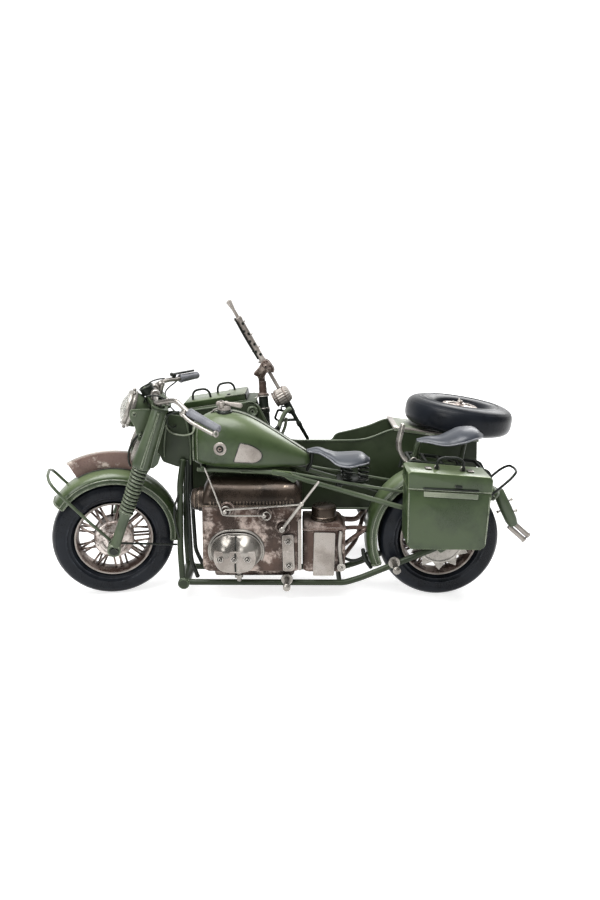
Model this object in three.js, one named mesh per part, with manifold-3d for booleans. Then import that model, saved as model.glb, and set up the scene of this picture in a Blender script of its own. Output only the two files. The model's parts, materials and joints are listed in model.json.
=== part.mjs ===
// Hand-made tin model of a military motorcycle with a sidecar, in millimetres, +Z up.
// The front of the machine points to -X, the sidecar stands on the +Y side.
// The machine is laid out from the spot where the rear tyre meets the floor, and the last
// lines move the whole model so that the origin is the middle of its box, at floor level.
import * as THREE from 'three';
import { mergeVertices } from 'three/addons/utils/BufferGeometryUtils.js';
import Module from 'manifold-3d';

const wasm = await Module();
wasm.setup();

// ---------------------------------------------------------------- driving dimensions
const GAP = 0.35; // clearance between neighbouring pieces

const WHEEL_RADIUS = 46;
const TYRE_HALF = 11; // half of the tyre's width
const RIM_RADIUS = 29;
const DRUM_RADIUS = 15;
const SPOKES = 8;
const AXLE_RADIUS = 2.1;
const SPARE_RADIUS = 44.5;

const TUBE = 2.3; // radius of the frame tubes
const FRAME_HALF = 16; // half distance between the two frame loops
const FRAME_FRONT = -195; // the down tubes
const FRAME_LOW = 14.5; // height of the bottom tubes

const RAKE = THREE.MathUtils.degToRad(19.8);
const STEERED = THREE.MathUtils.degToRad(13.5); // the bars rest turned to the left
const STEER_HEAD = new THREE.Vector3(-210.8, 0, 148.8); // top of the steering axis
const LEG_OFFSET = 2; // the fork legs stand this far ahead of the steering axis
const LEG_HALF = 27; // half distance between the fork legs
// The turned and raked front wheel leans by this angle, so its axle sits a little higher.
const LEAN = Math.asin(Math.sin(STEERED) * Math.sin(RAKE));
const TREAD_HALF = TYRE_HALF * Math.tan(Math.PI / 8);
const FRONT_AXLE_HEIGHT = WHEEL_RADIUS * Math.cos(LEAN) + TREAD_HALF * Math.sin(LEAN);
// Distance along the steering axis, from its top down to the axle.
const FRONT_AXLE = (FRONT_AXLE_HEIGHT - STEER_HEAD.z
  - LEG_OFFSET * Math.sin(RAKE) * Math.cos(STEERED)) / Math.cos(RAKE);

const GUARD_RADIUS = 56.5;
const GUARD_HALF = 13.4;
const GUARD_WALL = 0.9;

const ENGINE = { front: -178, rear: -105, bottom: 26, top: 77, half: 24 };

const TUB_NEAR = 50; // the tub's wall beside the motorcycle
const TUB_FAR = 97;
const TUB_MIDDLE = (TUB_NEAR + TUB_FAR) / 2;
const TUB_WALL = 1.5;
const TUB_BOTTOM = 51.5;
const DECK_FRONT = { x: -28, z: 119.6 };
const DECK_REAR = { x: 39, z: 110.2 };
const SIDECAR_WHEEL = { x: -11, y: 124 };

const PANNIER_NEAR = -48;
const PANNIER_FAR = -20;

const GUN_PIVOT = new THREE.Vector3(-134.5, TUB_MIDDLE, 168.5);
const GUN_ANGLE = THREE.MathUtils.degToRad(60.5); // the barrel rests pointing up and ahead

// ---------------------------------------------------------------- materials
function paint(colour, roughness, metalness) {
  return new THREE.MeshStandardMaterial({ color: colour, roughness, metalness });
}
const GREEN = () => paint(0x4a6b3a, 0.42, 0.25);
const DARK_GREEN = () => paint(0x26381f, 0.5, 0.25);
const GREY_GREEN = () => paint(0x5d7158, 0.45, 0.3);
const RUST = () => paint(0x6b5145, 0.6, 0.6);
const SILVER = () => paint(0xa9a59c, 0.35, 0.9);
const BLACK_WIRE = () => paint(0x1d1f1c, 0.5, 0.5);
const TYRE_RUBBER = () => paint(0x23272a, 0.55, 0.0);
const SADDLE_GREY = () => paint(0x4a4f57, 0.45, 0.0);
const LENS = () => paint(0xd9dcd6, 0.15, 0.1);

// ---------------------------------------------------------------- solids
const point = (x, y, z) => new THREE.Vector3(x, y, z);
const flat = (x, y) => new THREE.Vector2(x, y);

function bare(geometry) {
  const plain = geometry.clone();
  for (const name of Object.keys(plain.attributes)) {
    if (name !== 'position') plain.deleteAttribute(name);
  }
  return mergeVertices(plain, 1e-4);
}

// Signed volume: the sum of the tetrahedra between the origin and each triangle.
function volume(geometry) {
  const p = geometry.attributes.position;
  const index = geometry.index.array;
  const corner = [point(0, 0, 0), point(0, 0, 0), point(0, 0, 0)];
  let sum = 0;
  for (let i = 0; i < index.length; i += 3) {
    corner.forEach((c, k) => c.fromBufferAttribute(p, index[i + k]));
    sum += corner[0].dot(corner[1].clone().cross(corner[2])) / 6;
  }
  return sum;
}

function solid(geometry) {
  const plain = bare(geometry);
  const index = plain.index.array;
  if (volume(plain) < 0) {
    for (let i = 0; i < index.length; i += 3) {
      [index[i + 1], index[i + 2]] = [index[i + 2], index[i + 1]];
    }
  }
  return new wasm.Manifold(new wasm.Mesh({
    numProp: 3,
    vertProperties: new Float32Array(plain.attributes.position.array),
    triVerts: new Uint32Array(index),
  }));
}

function geometryOf(manifold) {
  const mesh = manifold.getMesh();
  const geometry = new THREE.BufferGeometry();
  geometry.setAttribute('position', new THREE.BufferAttribute(mesh.vertProperties, 3));
  geometry.setIndex(new THREE.BufferAttribute(mesh.triVerts, 1));
  return geometry;
}

function join(...parts) {
  return geometryOf(parts.map(solid).reduce((whole, part) => whole.add(part)));
}

function cut(base, ...tools) {
  return geometryOf(tools.map(solid).reduce((rest, tool) => rest.subtract(tool), solid(base)));
}

function box(low, high) {
  const size = high.clone().sub(low);
  const middle = high.clone().add(low).multiplyScalar(0.5);
  return new THREE.BoxGeometry(size.x, size.y, size.z).translate(middle.x, middle.y, middle.z);
}

// A straight round bar between two points; the far end may have its own radius.
function rod(from, to, radius, sides = 12, farRadius = radius) {
  const along = to.clone().sub(from);
  const geometry = new THREE.CylinderGeometry(farRadius, radius, along.length(), sides);
  const turn = new THREE.Quaternion().setFromUnitVectors(point(0, 1, 0), along.clone().normalize());
  const middle = from.clone().add(to).multiplyScalar(0.5);
  return geometry.applyQuaternion(turn).translate(middle.x, middle.y, middle.z);
}

function disc(radius, sides) {
  return new THREE.Shape(Array.from({ length: sides }, (_, i) => {
    const angle = (2 * Math.PI * i) / sides;
    return flat(radius * Math.cos(angle), radius * Math.sin(angle));
  }));
}

// A bent round bar along a smooth curve through the points.
function bent(points, radius, steps, sides = 8) {
  const path = new THREE.CatmullRomCurve3(points, false, 'centripetal');
  return new THREE.ExtrudeGeometry(disc(radius, sides), { steps, extrudePath: path });
}

// A bar with sharp corners: straight pieces that run a little past each inner corner.
function cornered(points, radius, sides = 8) {
  const pieces = [];
  for (let i = 1; i < points.length; i += 1) {
    const from = points[i - 1].clone();
    const to = points[i].clone();
    const along = to.clone().sub(from).normalize();
    if (i > 1) from.addScaledVector(along, -radius / 2);
    if (i < points.length - 1) to.addScaledVector(along, radius / 2);
    pieces.push(rod(from, to, radius, sides));
  }
  return join(...pieces);
}

// An outline in X and Z, carried straight across from one Y to another.
function slab(outline, fromY, toY) {
  const shape = new THREE.Shape(outline.map(([x, z]) => flat(x, z)));
  const geometry = new THREE.ExtrudeGeometry(shape, { depth: toY - fromY, bevelEnabled: false });
  return geometry.rotateX(Math.PI / 2).translate(0, toY, 0);
}

// A profile of (radius, y) points turned about the Y axis through (x, y, z).
function turned(profile, x, y, z, segments = 40) {
  const points = profile.map(([r, along]) => flat(r, along));
  return new THREE.LatheGeometry(points, segments).translate(x, y, z);
}

// A section given across (Y) and outward, carried round an arc in the XZ plane.
class ArcXZ extends THREE.Curve {
  constructor(x, z, radius, from, to) {
    super();
    Object.assign(this, { x, z, radius, from, to });
  }

  getPoint(t, target = point(0, 0, 0)) {
    const angle = THREE.MathUtils.degToRad(this.from + (this.to - this.from) * t);
    const reach = this.radius;
    return target.set(this.x + reach * Math.cos(angle), 0, this.z + reach * Math.sin(angle));
  }
}

function arched(section, x, z, radius, from, to, steps) {
  const path = new ArcXZ(x, z, radius, from, to);
  const shape = new THREE.Shape(section.map(([across, out]) => flat(-across, out)));
  return new THREE.ExtrudeGeometry(shape, { steps, extrudePath: path });
}

// A closed body along X. Each curve gives a value for a share of the length from 0 to 1.
function lofted(fromX, toX, middleY, curves, rings, sides, squareness = 0.85) {
  const geometry = bare(new THREE.SphereGeometry(1, sides, rings).rotateZ(Math.PI / 2));
  const p = geometry.attributes.position;
  const at = (curve, share) => curve.getPoint(share).y;
  for (let i = 0; i < p.count; i += 1) {
    const share = (1 + p.getX(i)) / 2;
    const round = Math.hypot(p.getY(i), p.getZ(i)) || 1;
    const side = p.getY(i) / round;
    const up = p.getZ(i) / round;
    const pole = Math.abs(p.getX(i)) > 0.9999 ? 0 : 1;
    const top = at(curves.top, share);
    const low = at(curves.low, share);
    const across = pole * at(curves.half, share) * Math.sign(side) * Math.abs(side) ** squareness;
    const height = (top - low) / 2;
    const rise = pole * height * Math.sign(up) * Math.abs(up) ** squareness;
    p.setXYZ(i, fromX + (toX - fromX) * share, middleY + across, (top + low) / 2 + rise);
  }
  return geometry;
}

// A curve of heights over even shares of the length.
function heights(...values) {
  return new THREE.SplineCurve(values.map((v, i) => flat(i / (values.length - 1), v)));
}

const model = new THREE.Group();

function add(name, geometry, material, group = model) {
  const plain = bare(geometry);
  const index = plain.index.array;
  if (volume(plain) < 0) {
    for (let i = 0; i < index.length; i += 3) {
      [index[i + 1], index[i + 2]] = [index[i + 2], index[i + 1]];
    }
  }
  const mesh = new THREE.Mesh(plain, material);
  mesh.name = name;
  group.add(mesh);
  return mesh;
}

// ---------------------------------------------------------------- wheels
// A tyre is a flattened ring; its eight-sided section has a flat tread and closes on itself.
function tyre(outer, half = TYRE_HALF) {
  const inner = RIM_RADIUS + GAP;
  const middle = (outer + inner) / 2;
  const flatTread = Math.cos(Math.PI / 8);
  const section = [];
  for (let i = 0; i <= 8; i += 1) {
    const angle = (2 * Math.PI * (i + 0.5)) / 8;
    const reach = (outer - inner) / 2 / flatTread;
    section.push([middle + reach * Math.cos(angle), (half / flatTread) * Math.sin(angle)]);
  }
  return turned(section, 0, 0, 0, 30);
}

// Rim, flat spokes and drum, bored for the axle.
function wheel() {
  const rim = turned([[26.3, -4.5], [29, -6], [29, 6], [26.3, 4.5], [26.3, -4.5]], 0, 0, 0, 28);
  const drum = turned([
    [AXLE_RADIUS + GAP, -9], [DRUM_RADIUS, -8], [DRUM_RADIUS, 8], [AXLE_RADIUS + GAP, 9],
    [AXLE_RADIUS + GAP, -9],
  ], 0, 0, 0, 14);
  const spokes = [];
  for (let i = 0; i < SPOKES; i += 1) {
    const spoke = new THREE.BoxGeometry(13.2, 2, 2.6).translate(20.6, 0, 0);
    spokes.push(spoke.rotateY((2 * Math.PI * i) / SPOKES));
  }
  return join(rim, drum, ...spokes);
}

function placed(group, x, y, z) {
  group.position.set(x, y, z);
  model.add(group);
  return group;
}

const rearWheel = placed(new THREE.Group(), 0, 0, WHEEL_RADIUS);
add('rear_tyre', tyre(WHEEL_RADIUS), TYRE_RUBBER(), rearWheel);
add('rear_wheel', wheel(), RUST(), rearWheel);

const TEETH = 18;
const teeth = Array.from({ length: TEETH * 2 }, (_, i) => {
  const reach = i % 2 ? 18.6 : 22.6;
  const angle = (Math.PI * i) / TEETH;
  return [reach * Math.cos(angle), reach * Math.sin(angle)];
});
const sprocketBore = rod(point(0, -20, 0), point(0, 0, 0), AXLE_RADIUS + GAP, 16);
add('rear_sprocket', cut(slab(teeth, -12.6, -11.3), sprocketBore), SILVER(), rearWheel);

const sideWheel = placed(new THREE.Group(), SIDECAR_WHEEL.x, SIDECAR_WHEEL.y, WHEEL_RADIUS);
add('sidecar_tyre', tyre(WHEEL_RADIUS), TYRE_RUBBER(), sideWheel);
add('sidecar_wheel', wheel(), RUST(), sideWheel);

// ---------------------------------------------------------------- frame
// Each side has a down tube, a bottom tube with its axle plate and foot pegs, and a top rail.
const PEGS = [[-116, 17.4], [-35, 30.8]]; // X and Z of the front and rear pegs
for (const [side, sign] of [['left', -1], ['right', 1]]) {
  const y = sign * FRAME_HALF;
  add(`down_tube_${side}`, bent([
    point(FRAME_FRONT + 2, y * 0.63, 109),
    point(FRAME_FRONT, y, 92),
    point(FRAME_FRONT - 1.5, y, 40),
    point(FRAME_FRONT - 0.5, y, FRAME_LOW + 4),
    point(FRAME_FRONT + 3.4, y, FRAME_LOW),
  ], TUBE, 12), GREEN());
  const along = cornered([
    point(FRAME_FRONT + 6.4, y, FRAME_LOW),
    point(-72, y, FRAME_LOW - 1),
    point(-60, y, FRAME_LOW + 3),
    point(-3, y, 46 - 4.2),
  ], TUBE, 8);
  const plate = slab([[-9.4, 60], [2, 70], [6, 66], [5.5, 41], [0, 37.5], [-5, 42]], y - 1.3, y + 1.3);
  const rail = rod(point(-30, y, 73.5), point(-9.7, y, 67.4), 2.5, 10);
  const pegs = PEGS.flatMap(([x, z]) => [
    rod(point(x, y, z), point(x, sign * 37, z), 2.2, 6),
    rod(point(x, y, z), point(x, sign * 21.5, z), 3.4, 8),
  ]);
  const bore = rod(point(0, y - 6, WHEEL_RADIUS), point(0, y + 6, WHEEL_RADIUS), 2.5, 12);
  add(`bottom_tube_${side}`, cut(join(along, plate, ...pegs), bore, rail), GREEN());
  const top = [point(-182, y * 0.5, 101.4), point(-122, y, 100.6), point(-10, y, 67.5)];
  add(`top_rail_${side}`, cornered(top, 2, 8), GREEN());
}
add('rear_axle', join(
  rod(point(0, -18.9, WHEEL_RADIUS), point(0, 18.3, WHEEL_RADIUS), AXLE_RADIUS, 12),
  rod(point(0, -19.4, WHEEL_RADIUS), point(0, -17.7, WHEEL_RADIUS), 3.6, 6),
), SILVER());

// The steering head: a tube on the steering axis with a gusset panel behind it.
const steerUp = point(Math.sin(RAKE), 0, Math.cos(RAKE));
const onAxis = (w) => STEER_HEAD.clone().addScaledVector(steerUp, w);
const gusset = slab([
  [-215, 139], [-190.3, 142], [-187.6, 104], [-197, 103], [-209, 107], [-211, 112.5], [-219, 115.5],
], -7.5, 7.5);
add('steering_head', cut(
  join(gusset, rod(onAxis(-35.6), onAxis(-4), 6.6, 16)),
  rod(onAxis(-60), onAxis(20), 4.4, 16),
  bent([point(-193, -8.8, 110), point(-195, -16, 92), point(-196, -16, 60)], TUBE + GAP, 8),
  bent([point(-193, 8.8, 110), point(-195, 16, 92), point(-196, 16, 60)], TUBE + GAP, 8),
), DARK_GREEN());

// ---------------------------------------------------------------- fuel tank
const tankCurves = {
  top: heights(127, 143.4, 144.6, 141.8, 137.6, 132.2, 125.6, 118, 107.5),
  low: heights(121, 107.6, 103.6, 102.6, 102.4, 102.4, 102.6, 103, 105.5),
  half: heights(7, 18, 21.5, 22.5, 22, 19.8, 16.2, 11.5, 3.5),
};
const tankRails = [-1, 1].map((s) => rod(
  point(-182, s * 8, 101.4), point(-120, s * 16.3, 100.6), 2.5, 10));
const fillerSeat = rod(point(-162, -5, 138), point(-162, -5, 160), 5.2, 16);
add('fuel_tank', cut(
  lofted(-187, -99, 0, tankCurves, 14, 14),
  ...tankRails,
  rod(point(-123, -16, 100.9), point(-85, -16, 90), 2.5, 10),
  rod(point(-123, 16, 100.9), point(-85, 16, 90), 2.5, 10),
  fillerSeat,
), GREEN());
add('filler_cap', join(
  rod(point(-162, -5, 138.4), point(-162, -5, 146), 4.6, 16),
  box(point(-168, -6.6, 145), point(-150, -3.4, 147.4)),
), SILVER());

// ---------------------------------------------------------------- engine
const blockOutline = [
  [ENGINE.front, 30], [ENGINE.front + 4, ENGINE.bottom], [ENGINE.rear - 3, ENGINE.bottom],
  [ENGINE.rear, 29], [ENGINE.rear, ENGINE.top], [ENGINE.front, ENGINE.top],
];
add('engine_block', join(
  slab(blockOutline, -ENGINE.half, ENGINE.half),
  box(point(-170, -11, 17.5), point(-112, 11, 27)),
), RUST());
const coverSection = [
  [-21, 0], [21, 0], [22.5, 6], [20.5, 12.5], [14, 17], [-14, 17], [-20.5, 12.5], [-22.5, 6],
];
const coverShape = new THREE.Shape(coverSection.map(([y, z]) => flat(y, z)));
const coverLength = 69;
const cover = new THREE.ExtrudeGeometry(coverShape, {
  depth: coverLength, bevelEnabled: false,
}).rotateX(Math.PI / 2).rotateZ(Math.PI / 2);
add('engine_cover', cover.translate(-175, 0, ENGINE.top + GAP), RUST());
add('front_cylinder', join(
  rod(point(ENGINE.front - GAP, -9, 78), point(-186.5, -9, 79), 8, 16),
  rod(point(ENGINE.front - GAP, -9, 78), point(-180.5, -9, 78.2), 9.2, 16),
), RUST());

// Each rocker cover has two round lobes side by side.
for (const [side, sign] of [['left', -1], ['right', 1]]) {
  const lobe = (x) => rod(
    point(x, sign * (ENGINE.half + GAP), 45), point(x, sign * (ENGINE.half + 9), 45), 13.4, 16, 9.5);
  const seat = rod(
    point(-154, sign * (ENGINE.half + GAP), 45), point(-154, sign * (ENGINE.half + 3), 45), 16, 18);
  add(`rocker_cover_${side}`, join(
    lobe(-160.5), lobe(-147.5), seat,
  ), SILVER());
}

// ---------------------------------------------------------------- gearbox
add('gearbox', join(
  box(point(-104.4, -19, 24), point(-72, 12, 57)),
  box(point(-104.4, -17, 56), point(-74, 10, 62)),
), RUST());
add('air_filter', rod(point(-88, -8, 62.4), point(-88, -8, 72), 9.6, 24), RUST());

// Wire gear linkage on the near side of the engine.
const linkY = -29.5;
const link = (a, b) => rod(point(a[0], linkY, a[1]), point(b[0], linkY, b[1]), 0.9, 6);
add('gear_linkage', join(
  link([-163, 73.5], [-132, 71]),
  link([-163, 73.5], [-171, 96]),
  rod(point(-161, linkY - 1.2, 74), point(-161, -24.6, 74), 2.8, 8),
  rod(point(-132, linkY - 1.2, 71), point(-132, -24.6, 71), 2.8, 8),
  link([-161, 75.2], [-105, 80]),
  link([-93, 96.5], [-105, 80]),
  link([-105, 80], [-119, 60]),
  rod(point(-119, linkY - 1.4, 60), point(-119, -24.6, 60), 3, 8),
), SILVER());

// ---------------------------------------------------------------- rear mudguard, rack, saddles
function guardSection(half, wall, depth) {
  return [
    [-half, -depth], [-half, -3], [-half * 0.6, 0], [half * 0.6, 0], [half, -3], [half, -depth],
    [half - wall, -depth], [half - wall, -3.4], [half * 0.6 - wall / 3, -wall],
    [-half * 0.6 + wall / 3, -wall], [-half + wall, -3.4], [-half + wall, -depth],
  ];
}
const guard = guardSection(GUARD_HALF, GUARD_WALL, 8);
const rearGuard = arched(guard, 0, 47.5, GUARD_RADIUS, 39, 204, 13);
add('rear_mudguard', rearGuard, GREEN());

const rackTop = (x) => 108.6 - 0.13 * (x + 22);
const rackBar = (fromX, toX, y, half) => slab([
  [fromX, rackTop(fromX) - 1.4], [toX, rackTop(toX) - 1.4], [toX, rackTop(toX)], [fromX, rackTop(fromX)],
], y - half, y + half);
add('luggage_rack', join(
  rackBar(-24, 30, -13, 1.4),
  rackBar(-24, 30, 13, 1.4),
  rackBar(-24, -21, 0, 14),
  rackBar(27, 30, 0, 14),
  rackBar(-2, 1, 0, 14),
  cornered([point(-14.5, 0, 119.2), point(-17.5, 0, 113), point(-22, 0, 106.4)], 1.7, 8),
), BLACK_WIRE());
add('grab_handle', bent([
  point(-27, -8, 108.2), point(-33.5, -8, 116), point(-32, -8, 128), point(-30, 0, 134),
  point(-32, 8, 128), point(-33.5, 8, 116), point(-27, 8, 108.2),
], 1.9, 18, 6), SILVER());

const saddleHalf = (wide) => heights(2.5, wide * 0.28, wide * 0.45, wide * 0.88, wide, wide * 0.8, 3);
add('rider_saddle', join(lofted(-101, -53.5, 0, {
  top: heights(115.5, 116, 112.4, 110.8, 111.4, 110, 104),
  low: heights(113.5, 111, 107.2, 104.6, 103.8, 103.4, 102.4),
  half: saddleHalf(18.5),
}, 12, 12),
// The sprung post under it stands on a plate between the rails.
rod(point(-71, 0, 90.5), point(-70, 0, 106), 4.6, 10),
box(point(-78, -13.4, 88.6), point(-64, 13.4, 91)),
), SADDLE_GREY());
add('pillion_saddle', lofted(-18.5, 30.5, 0, {
  top: heights(122.6, 124.6, 124.8, 127.6, 131, 131.6, 126.5),
  low: heights(120.6, 119.8, 119.2, 120.2, 121.6, 124, 124.4),
  half: saddleHalf(17.5),
}, 12, 12), SADDLE_GREY());

// ---------------------------------------------------------------- tail
add('rear_loop', bent([
  point(40, -15, 85.5), point(52, -14.4, 96), point(55.5, -8, 98.5), point(56, 0, 99),
  point(55.5, 8, 98.5), point(52, 14.4, 96), point(40, 15, 85.5),
], 1.1, 18, 6), BLACK_WIRE());
add('tail_arm', join(
  rod(point(46.5, 0, 78.6), point(58.5, 0, 54.5), 4.6, 12),
  rod(point(58, -3, 54), point(71, -3, 42.5), 2.4, 10),
  rod(point(58, 3, 54), point(71, 3, 42.5), 2.4, 10),
  rod(point(62, -3, 50.5), point(62, 3, 50.5), 1.8, 10),
  rod(point(69, -5, 44.3), point(69, 5, 44.3), 1.3, 10),
), GREY_GREEN());

// ---------------------------------------------------------------- pannier
const lidSeam = (x) => 96.2 - 0.055 * (x + 30);
const pannierOutline = [
  [-30, 55], [-27, 52], [22.5, 51.4], [25.5, 54.4], [28, lidSeam(28)], [-30.2, lidSeam(-30.2)],
];
const pannierHollow = [[-28.6, 55.6], [-26, 53.4], [21.8, 52.8], [24.2, 55.4], [26.6, 99], [-28.8, 99]];
add('pannier_box', cut(
  slab(pannierOutline, PANNIER_NEAR, PANNIER_FAR),
  slab(pannierHollow, PANNIER_NEAR + 1.4, PANNIER_FAR - 1.4),
), GREEN());
const lidOutline = [
  [-30.4, lidSeam(-30.4) + GAP], [28.2, lidSeam(28.2) + GAP], [28.6, 103.6], [27, 105], [-29, 109.6],
  [-30.8, 108],
];
const lidHollow = [[-29, 90], [26.8, 90], [27, 102.8], [-29, 107.4]];
const pannierLid = new THREE.Group();
model.add(pannierLid);
add('pannier_lid', cut(
  slab(lidOutline, PANNIER_NEAR, PANNIER_FAR),
  slab(lidHollow, PANNIER_NEAR + 1.4, PANNIER_FAR - 1.4),
), GREEN(), pannierLid);
add('pannier_handle', bent([
  point(-9, -36, 110.2), point(-9, -36, 113.5), point(-5.5, -36, 116.2), point(5.5, -36, 116.2),
  point(10, -36, 113), point(10, -36, 109),
], 1.1, 14, 6), BLACK_WIRE(), pannierLid);

// ---------------------------------------------------------------- sidecar
const tubOutline = [
  [-196, 57], [-189, TUB_BOTTOM], [35, TUB_BOTTOM], [41, 57], [DECK_REAR.x, DECK_REAR.z],
  [DECK_FRONT.x, DECK_FRONT.z], [-34, 118.6], [-45, 113.4], [-57, 110], [-114, 110],
  [-132, 122], [-140, 139], [-146, 142], [-203, 133.5], [-205, 122],
];
const tubHollow = [
  [-194, 58], [-188, 53], [34, 53], [39, 58], [37, 130], [-30, 130], [-30, 108], [-31.5, 108],
  [-31.5, 130], [-141.5, 150], [-141.5, 138], [-143, 138], [-143, 140.5], [-201, 132], [-203, 121],
];
const entry = slab([
  [-141, 150], [-141, 126], [-134, 112], [-124, 97], [-84, 97], [-77, 101], [-74.5, 106], [-74.5, 150],
], TUB_FAR - 3, TUB_FAR + 3);
add('sidecar_tub', cut(
  slab(tubOutline, TUB_NEAR, TUB_FAR),
  slab(tubHollow, TUB_NEAR + TUB_WALL, TUB_FAR - TUB_WALL),
  entry,
), DARK_GREEN());

const deckSlope = (DECK_FRONT.z - DECK_REAR.z) / (DECK_REAR.x - DECK_FRONT.x);
const deckTop = (x) => DECK_FRONT.z + 1.8 - deckSlope * (x - DECK_FRONT.x);
const SPARE_X = 25;
add('sidecar_deck', join(
  slab([
    [-29, deckTop(-29) - 1.4], [40, deckTop(40) - 1.4], [40, deckTop(40)], [-29, deckTop(-29)],
  ], TUB_NEAR + 0.4, TUB_FAR - 0.4),
  rod(point(SPARE_X, TUB_MIDDLE, deckTop(SPARE_X) - 1), point(SPARE_X + 0.7, TUB_MIDDLE, 117.6), 11, 20),
  rod(point(SPARE_X, TUB_MIDDLE, 112), point(SPARE_X + 3.6, TUB_MIDDLE, 137.6), 1.7, 12),
), GREEN());

// The spare wheel lies on the deck, on a stud with a wing nut.
const spare = placed(new THREE.Group(), SPARE_X + 2.1, TUB_MIDDLE, 127.4);
spare.rotation.order = 'YXZ';
spare.rotation.set(Math.PI / 2, Math.atan(deckSlope), 0);
add('spare_tyre', tyre(SPARE_RADIUS, 10.2), TYRE_RUBBER(), spare);
const spareHub = wheel().scale(1, 0.9, 1);
add('spare_wheel', spareHub, RUST(), spare);

add('sidecar_seat', join(
  box(point(-80, TUB_NEAR + 3, 56), point(-38, TUB_FAR - 3, 70)),
  box(point(-42, TUB_NEAR + 3, 56), point(-33.5, TUB_FAR - 3, 104)),
), SADDLE_GREY());

// Box on the nose of the sidecar, with two wire handles.
const noseSlope = Math.atan((142 - 133.5) / (203 - 146));
const onNose = (along, up) => [
  -202 + along * Math.cos(noseSlope) - up * Math.sin(noseSlope),
  134.2 + along * Math.sin(noseSlope) + up * Math.cos(noseSlope),
];
const noseHandle = (start) => bent([
  [0, 5.8], [0.5, 10.5], [3.5, 13.4], [11.5, 13.4], [14.5, 10.5], [15, 5.8],
].map(([along, up]) => {
  const [x, z] = onNose(start + along, up);
  return point(x, TUB_MIDDLE + 4, z);
}), 0.9, 12, 6);
add('nose_box', join(
  slab([onNose(1, 0.4), onNose(52, 0.4), onNose(52, 6.2), onNose(1, 6.2)], TUB_NEAR + 6, TUB_FAR - 4),
  noseHandle(8),
  noseHandle(27),
), GREEN());

// Chassis tubes carry the sidecar; the rear one ends in the wheel's axle.
add('sidecar_axle_tube', join(
  rod(point(SIDECAR_WHEEL.x, 20, WHEEL_RADIUS), point(SIDECAR_WHEEL.x, 113.4, WHEEL_RADIUS), 3, 12),
  rod(point(SIDECAR_WHEEL.x, 100, WHEEL_RADIUS), point(SIDECAR_WHEEL.x, 135, WHEEL_RADIUS), AXLE_RADIUS, 14),
  box(point(SIDECAR_WHEEL.x - 3, 18.8, 43), point(SIDECAR_WHEEL.x + 9, 21.4, 60)),
), GREEN());
add('sidecar_front_tube', cornered([
  point(-165, FRAME_HALF + TUBE + GAP, FRAME_LOW + 1), point(-165, 44, 22), point(-165, 88, 47.4),
], 2.6), GREEN());
add('sidecar_strut', join(
  cornered([point(-80, 18.9, 54), point(-60, 34, 47.6), point(-50, 66, 47)], 2.2, 8),
  cornered([point(-72, 18.7, 22), point(-60, 34, 30), point(-50, 66, 47)], 1.8, 8),
), RUST());

const sideGuard = arched(guard, SIDECAR_WHEEL.x, 47.5, GUARD_RADIUS, 28, 150, 12);
const guardArm = box(
  point(SIDECAR_WHEEL.x - 5, TUB_FAR + GAP, 98), point(SIDECAR_WHEEL.x + 5, SIDECAR_WHEEL.y - 12.8, 100));
add('sidecar_mudguard', join(sideGuard.translate(0, SIDECAR_WHEEL.y, 0), guardArm), GREEN());

// ---------------------------------------------------------------- toy gun
// The post stands on the tub's floor and leans back a little.
add('gun_post', join(
  rod(point(-132.3, TUB_MIDDLE, 53.6), point(-137, TUB_MIDDLE, 144), 4.2, 14),
  rod(point(-132.2, TUB_MIDDLE, 53.4), point(-132.3, TUB_MIDDLE, 55.4), 8, 14),
  rod(point(-137, TUB_MIDDLE, 143), point(-137.6, TUB_MIDDLE, 155.6), 3.2, 12),
), DARK_GREEN());
add('gun_cradle', cut(join(
  rod(point(-137.7, TUB_MIDDLE, 156), point(-137.9, TUB_MIDDLE, 160.5), 4, 12),
  slab([
    [-142, 159], [-135, 159], [-130.5, 165], [-131, 172], [-137, 171.5],
  ], TUB_MIDDLE - 4.6, TUB_MIDDLE + 4.6),
), slab([
  [-150, 161.6], [-120, 161.6], [-120, 190], [-150, 190],
], TUB_MIDDLE - 3.2, TUB_MIDDLE + 3.2),
), RUST());

const gun = new THREE.Group();
gun.position.copy(GUN_PIVOT);
gun.rotation.y = GUN_ANGLE;
model.add(gun);
// Inside this group the barrel points along -X and the top of the gun is +Z.
add('gun_barrel', join(
  rod(point(3, 0, 0), point(-46, 0, 0), 2.7, 14),
  rod(point(-45, 0, 0), point(-60.5, 0, 0), 1.5, 10, 1.9),
  rod(point(2, 0, 0), point(24, 0, 0), 1.5, 10),
), SILVER(), gun);
add('gun_receiver', join(
  rod(point(24.4, 0, 0), point(72, 0, 0), 2.2, 10, 1.4),
  box(point(24.4, -2.6, -3), point(46, 2.6, 2.6)),
  box(point(38, -1.2, -13), point(41.4, 1.2, -2)),
), BLACK_WIRE(), gun);
add('gun_drum', cut(
  rod(point(28.5, 0, -8), point(28.5, 0, 6.4), 7, 18),
  box(point(10, -3, -3.4), point(50, 3, 3)),
), SILVER(), gun);

// ---------------------------------------------------------------- steering
// Inside this group +Z runs up the steering axis, -X is ahead and Y is across.
const raked = placed(new THREE.Group(), STEER_HEAD.x, STEER_HEAD.y, STEER_HEAD.z);
raked.rotation.y = RAKE;
const steering = new THREE.Group();
steering.rotation.z = STEERED;
raked.add(steering);

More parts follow.
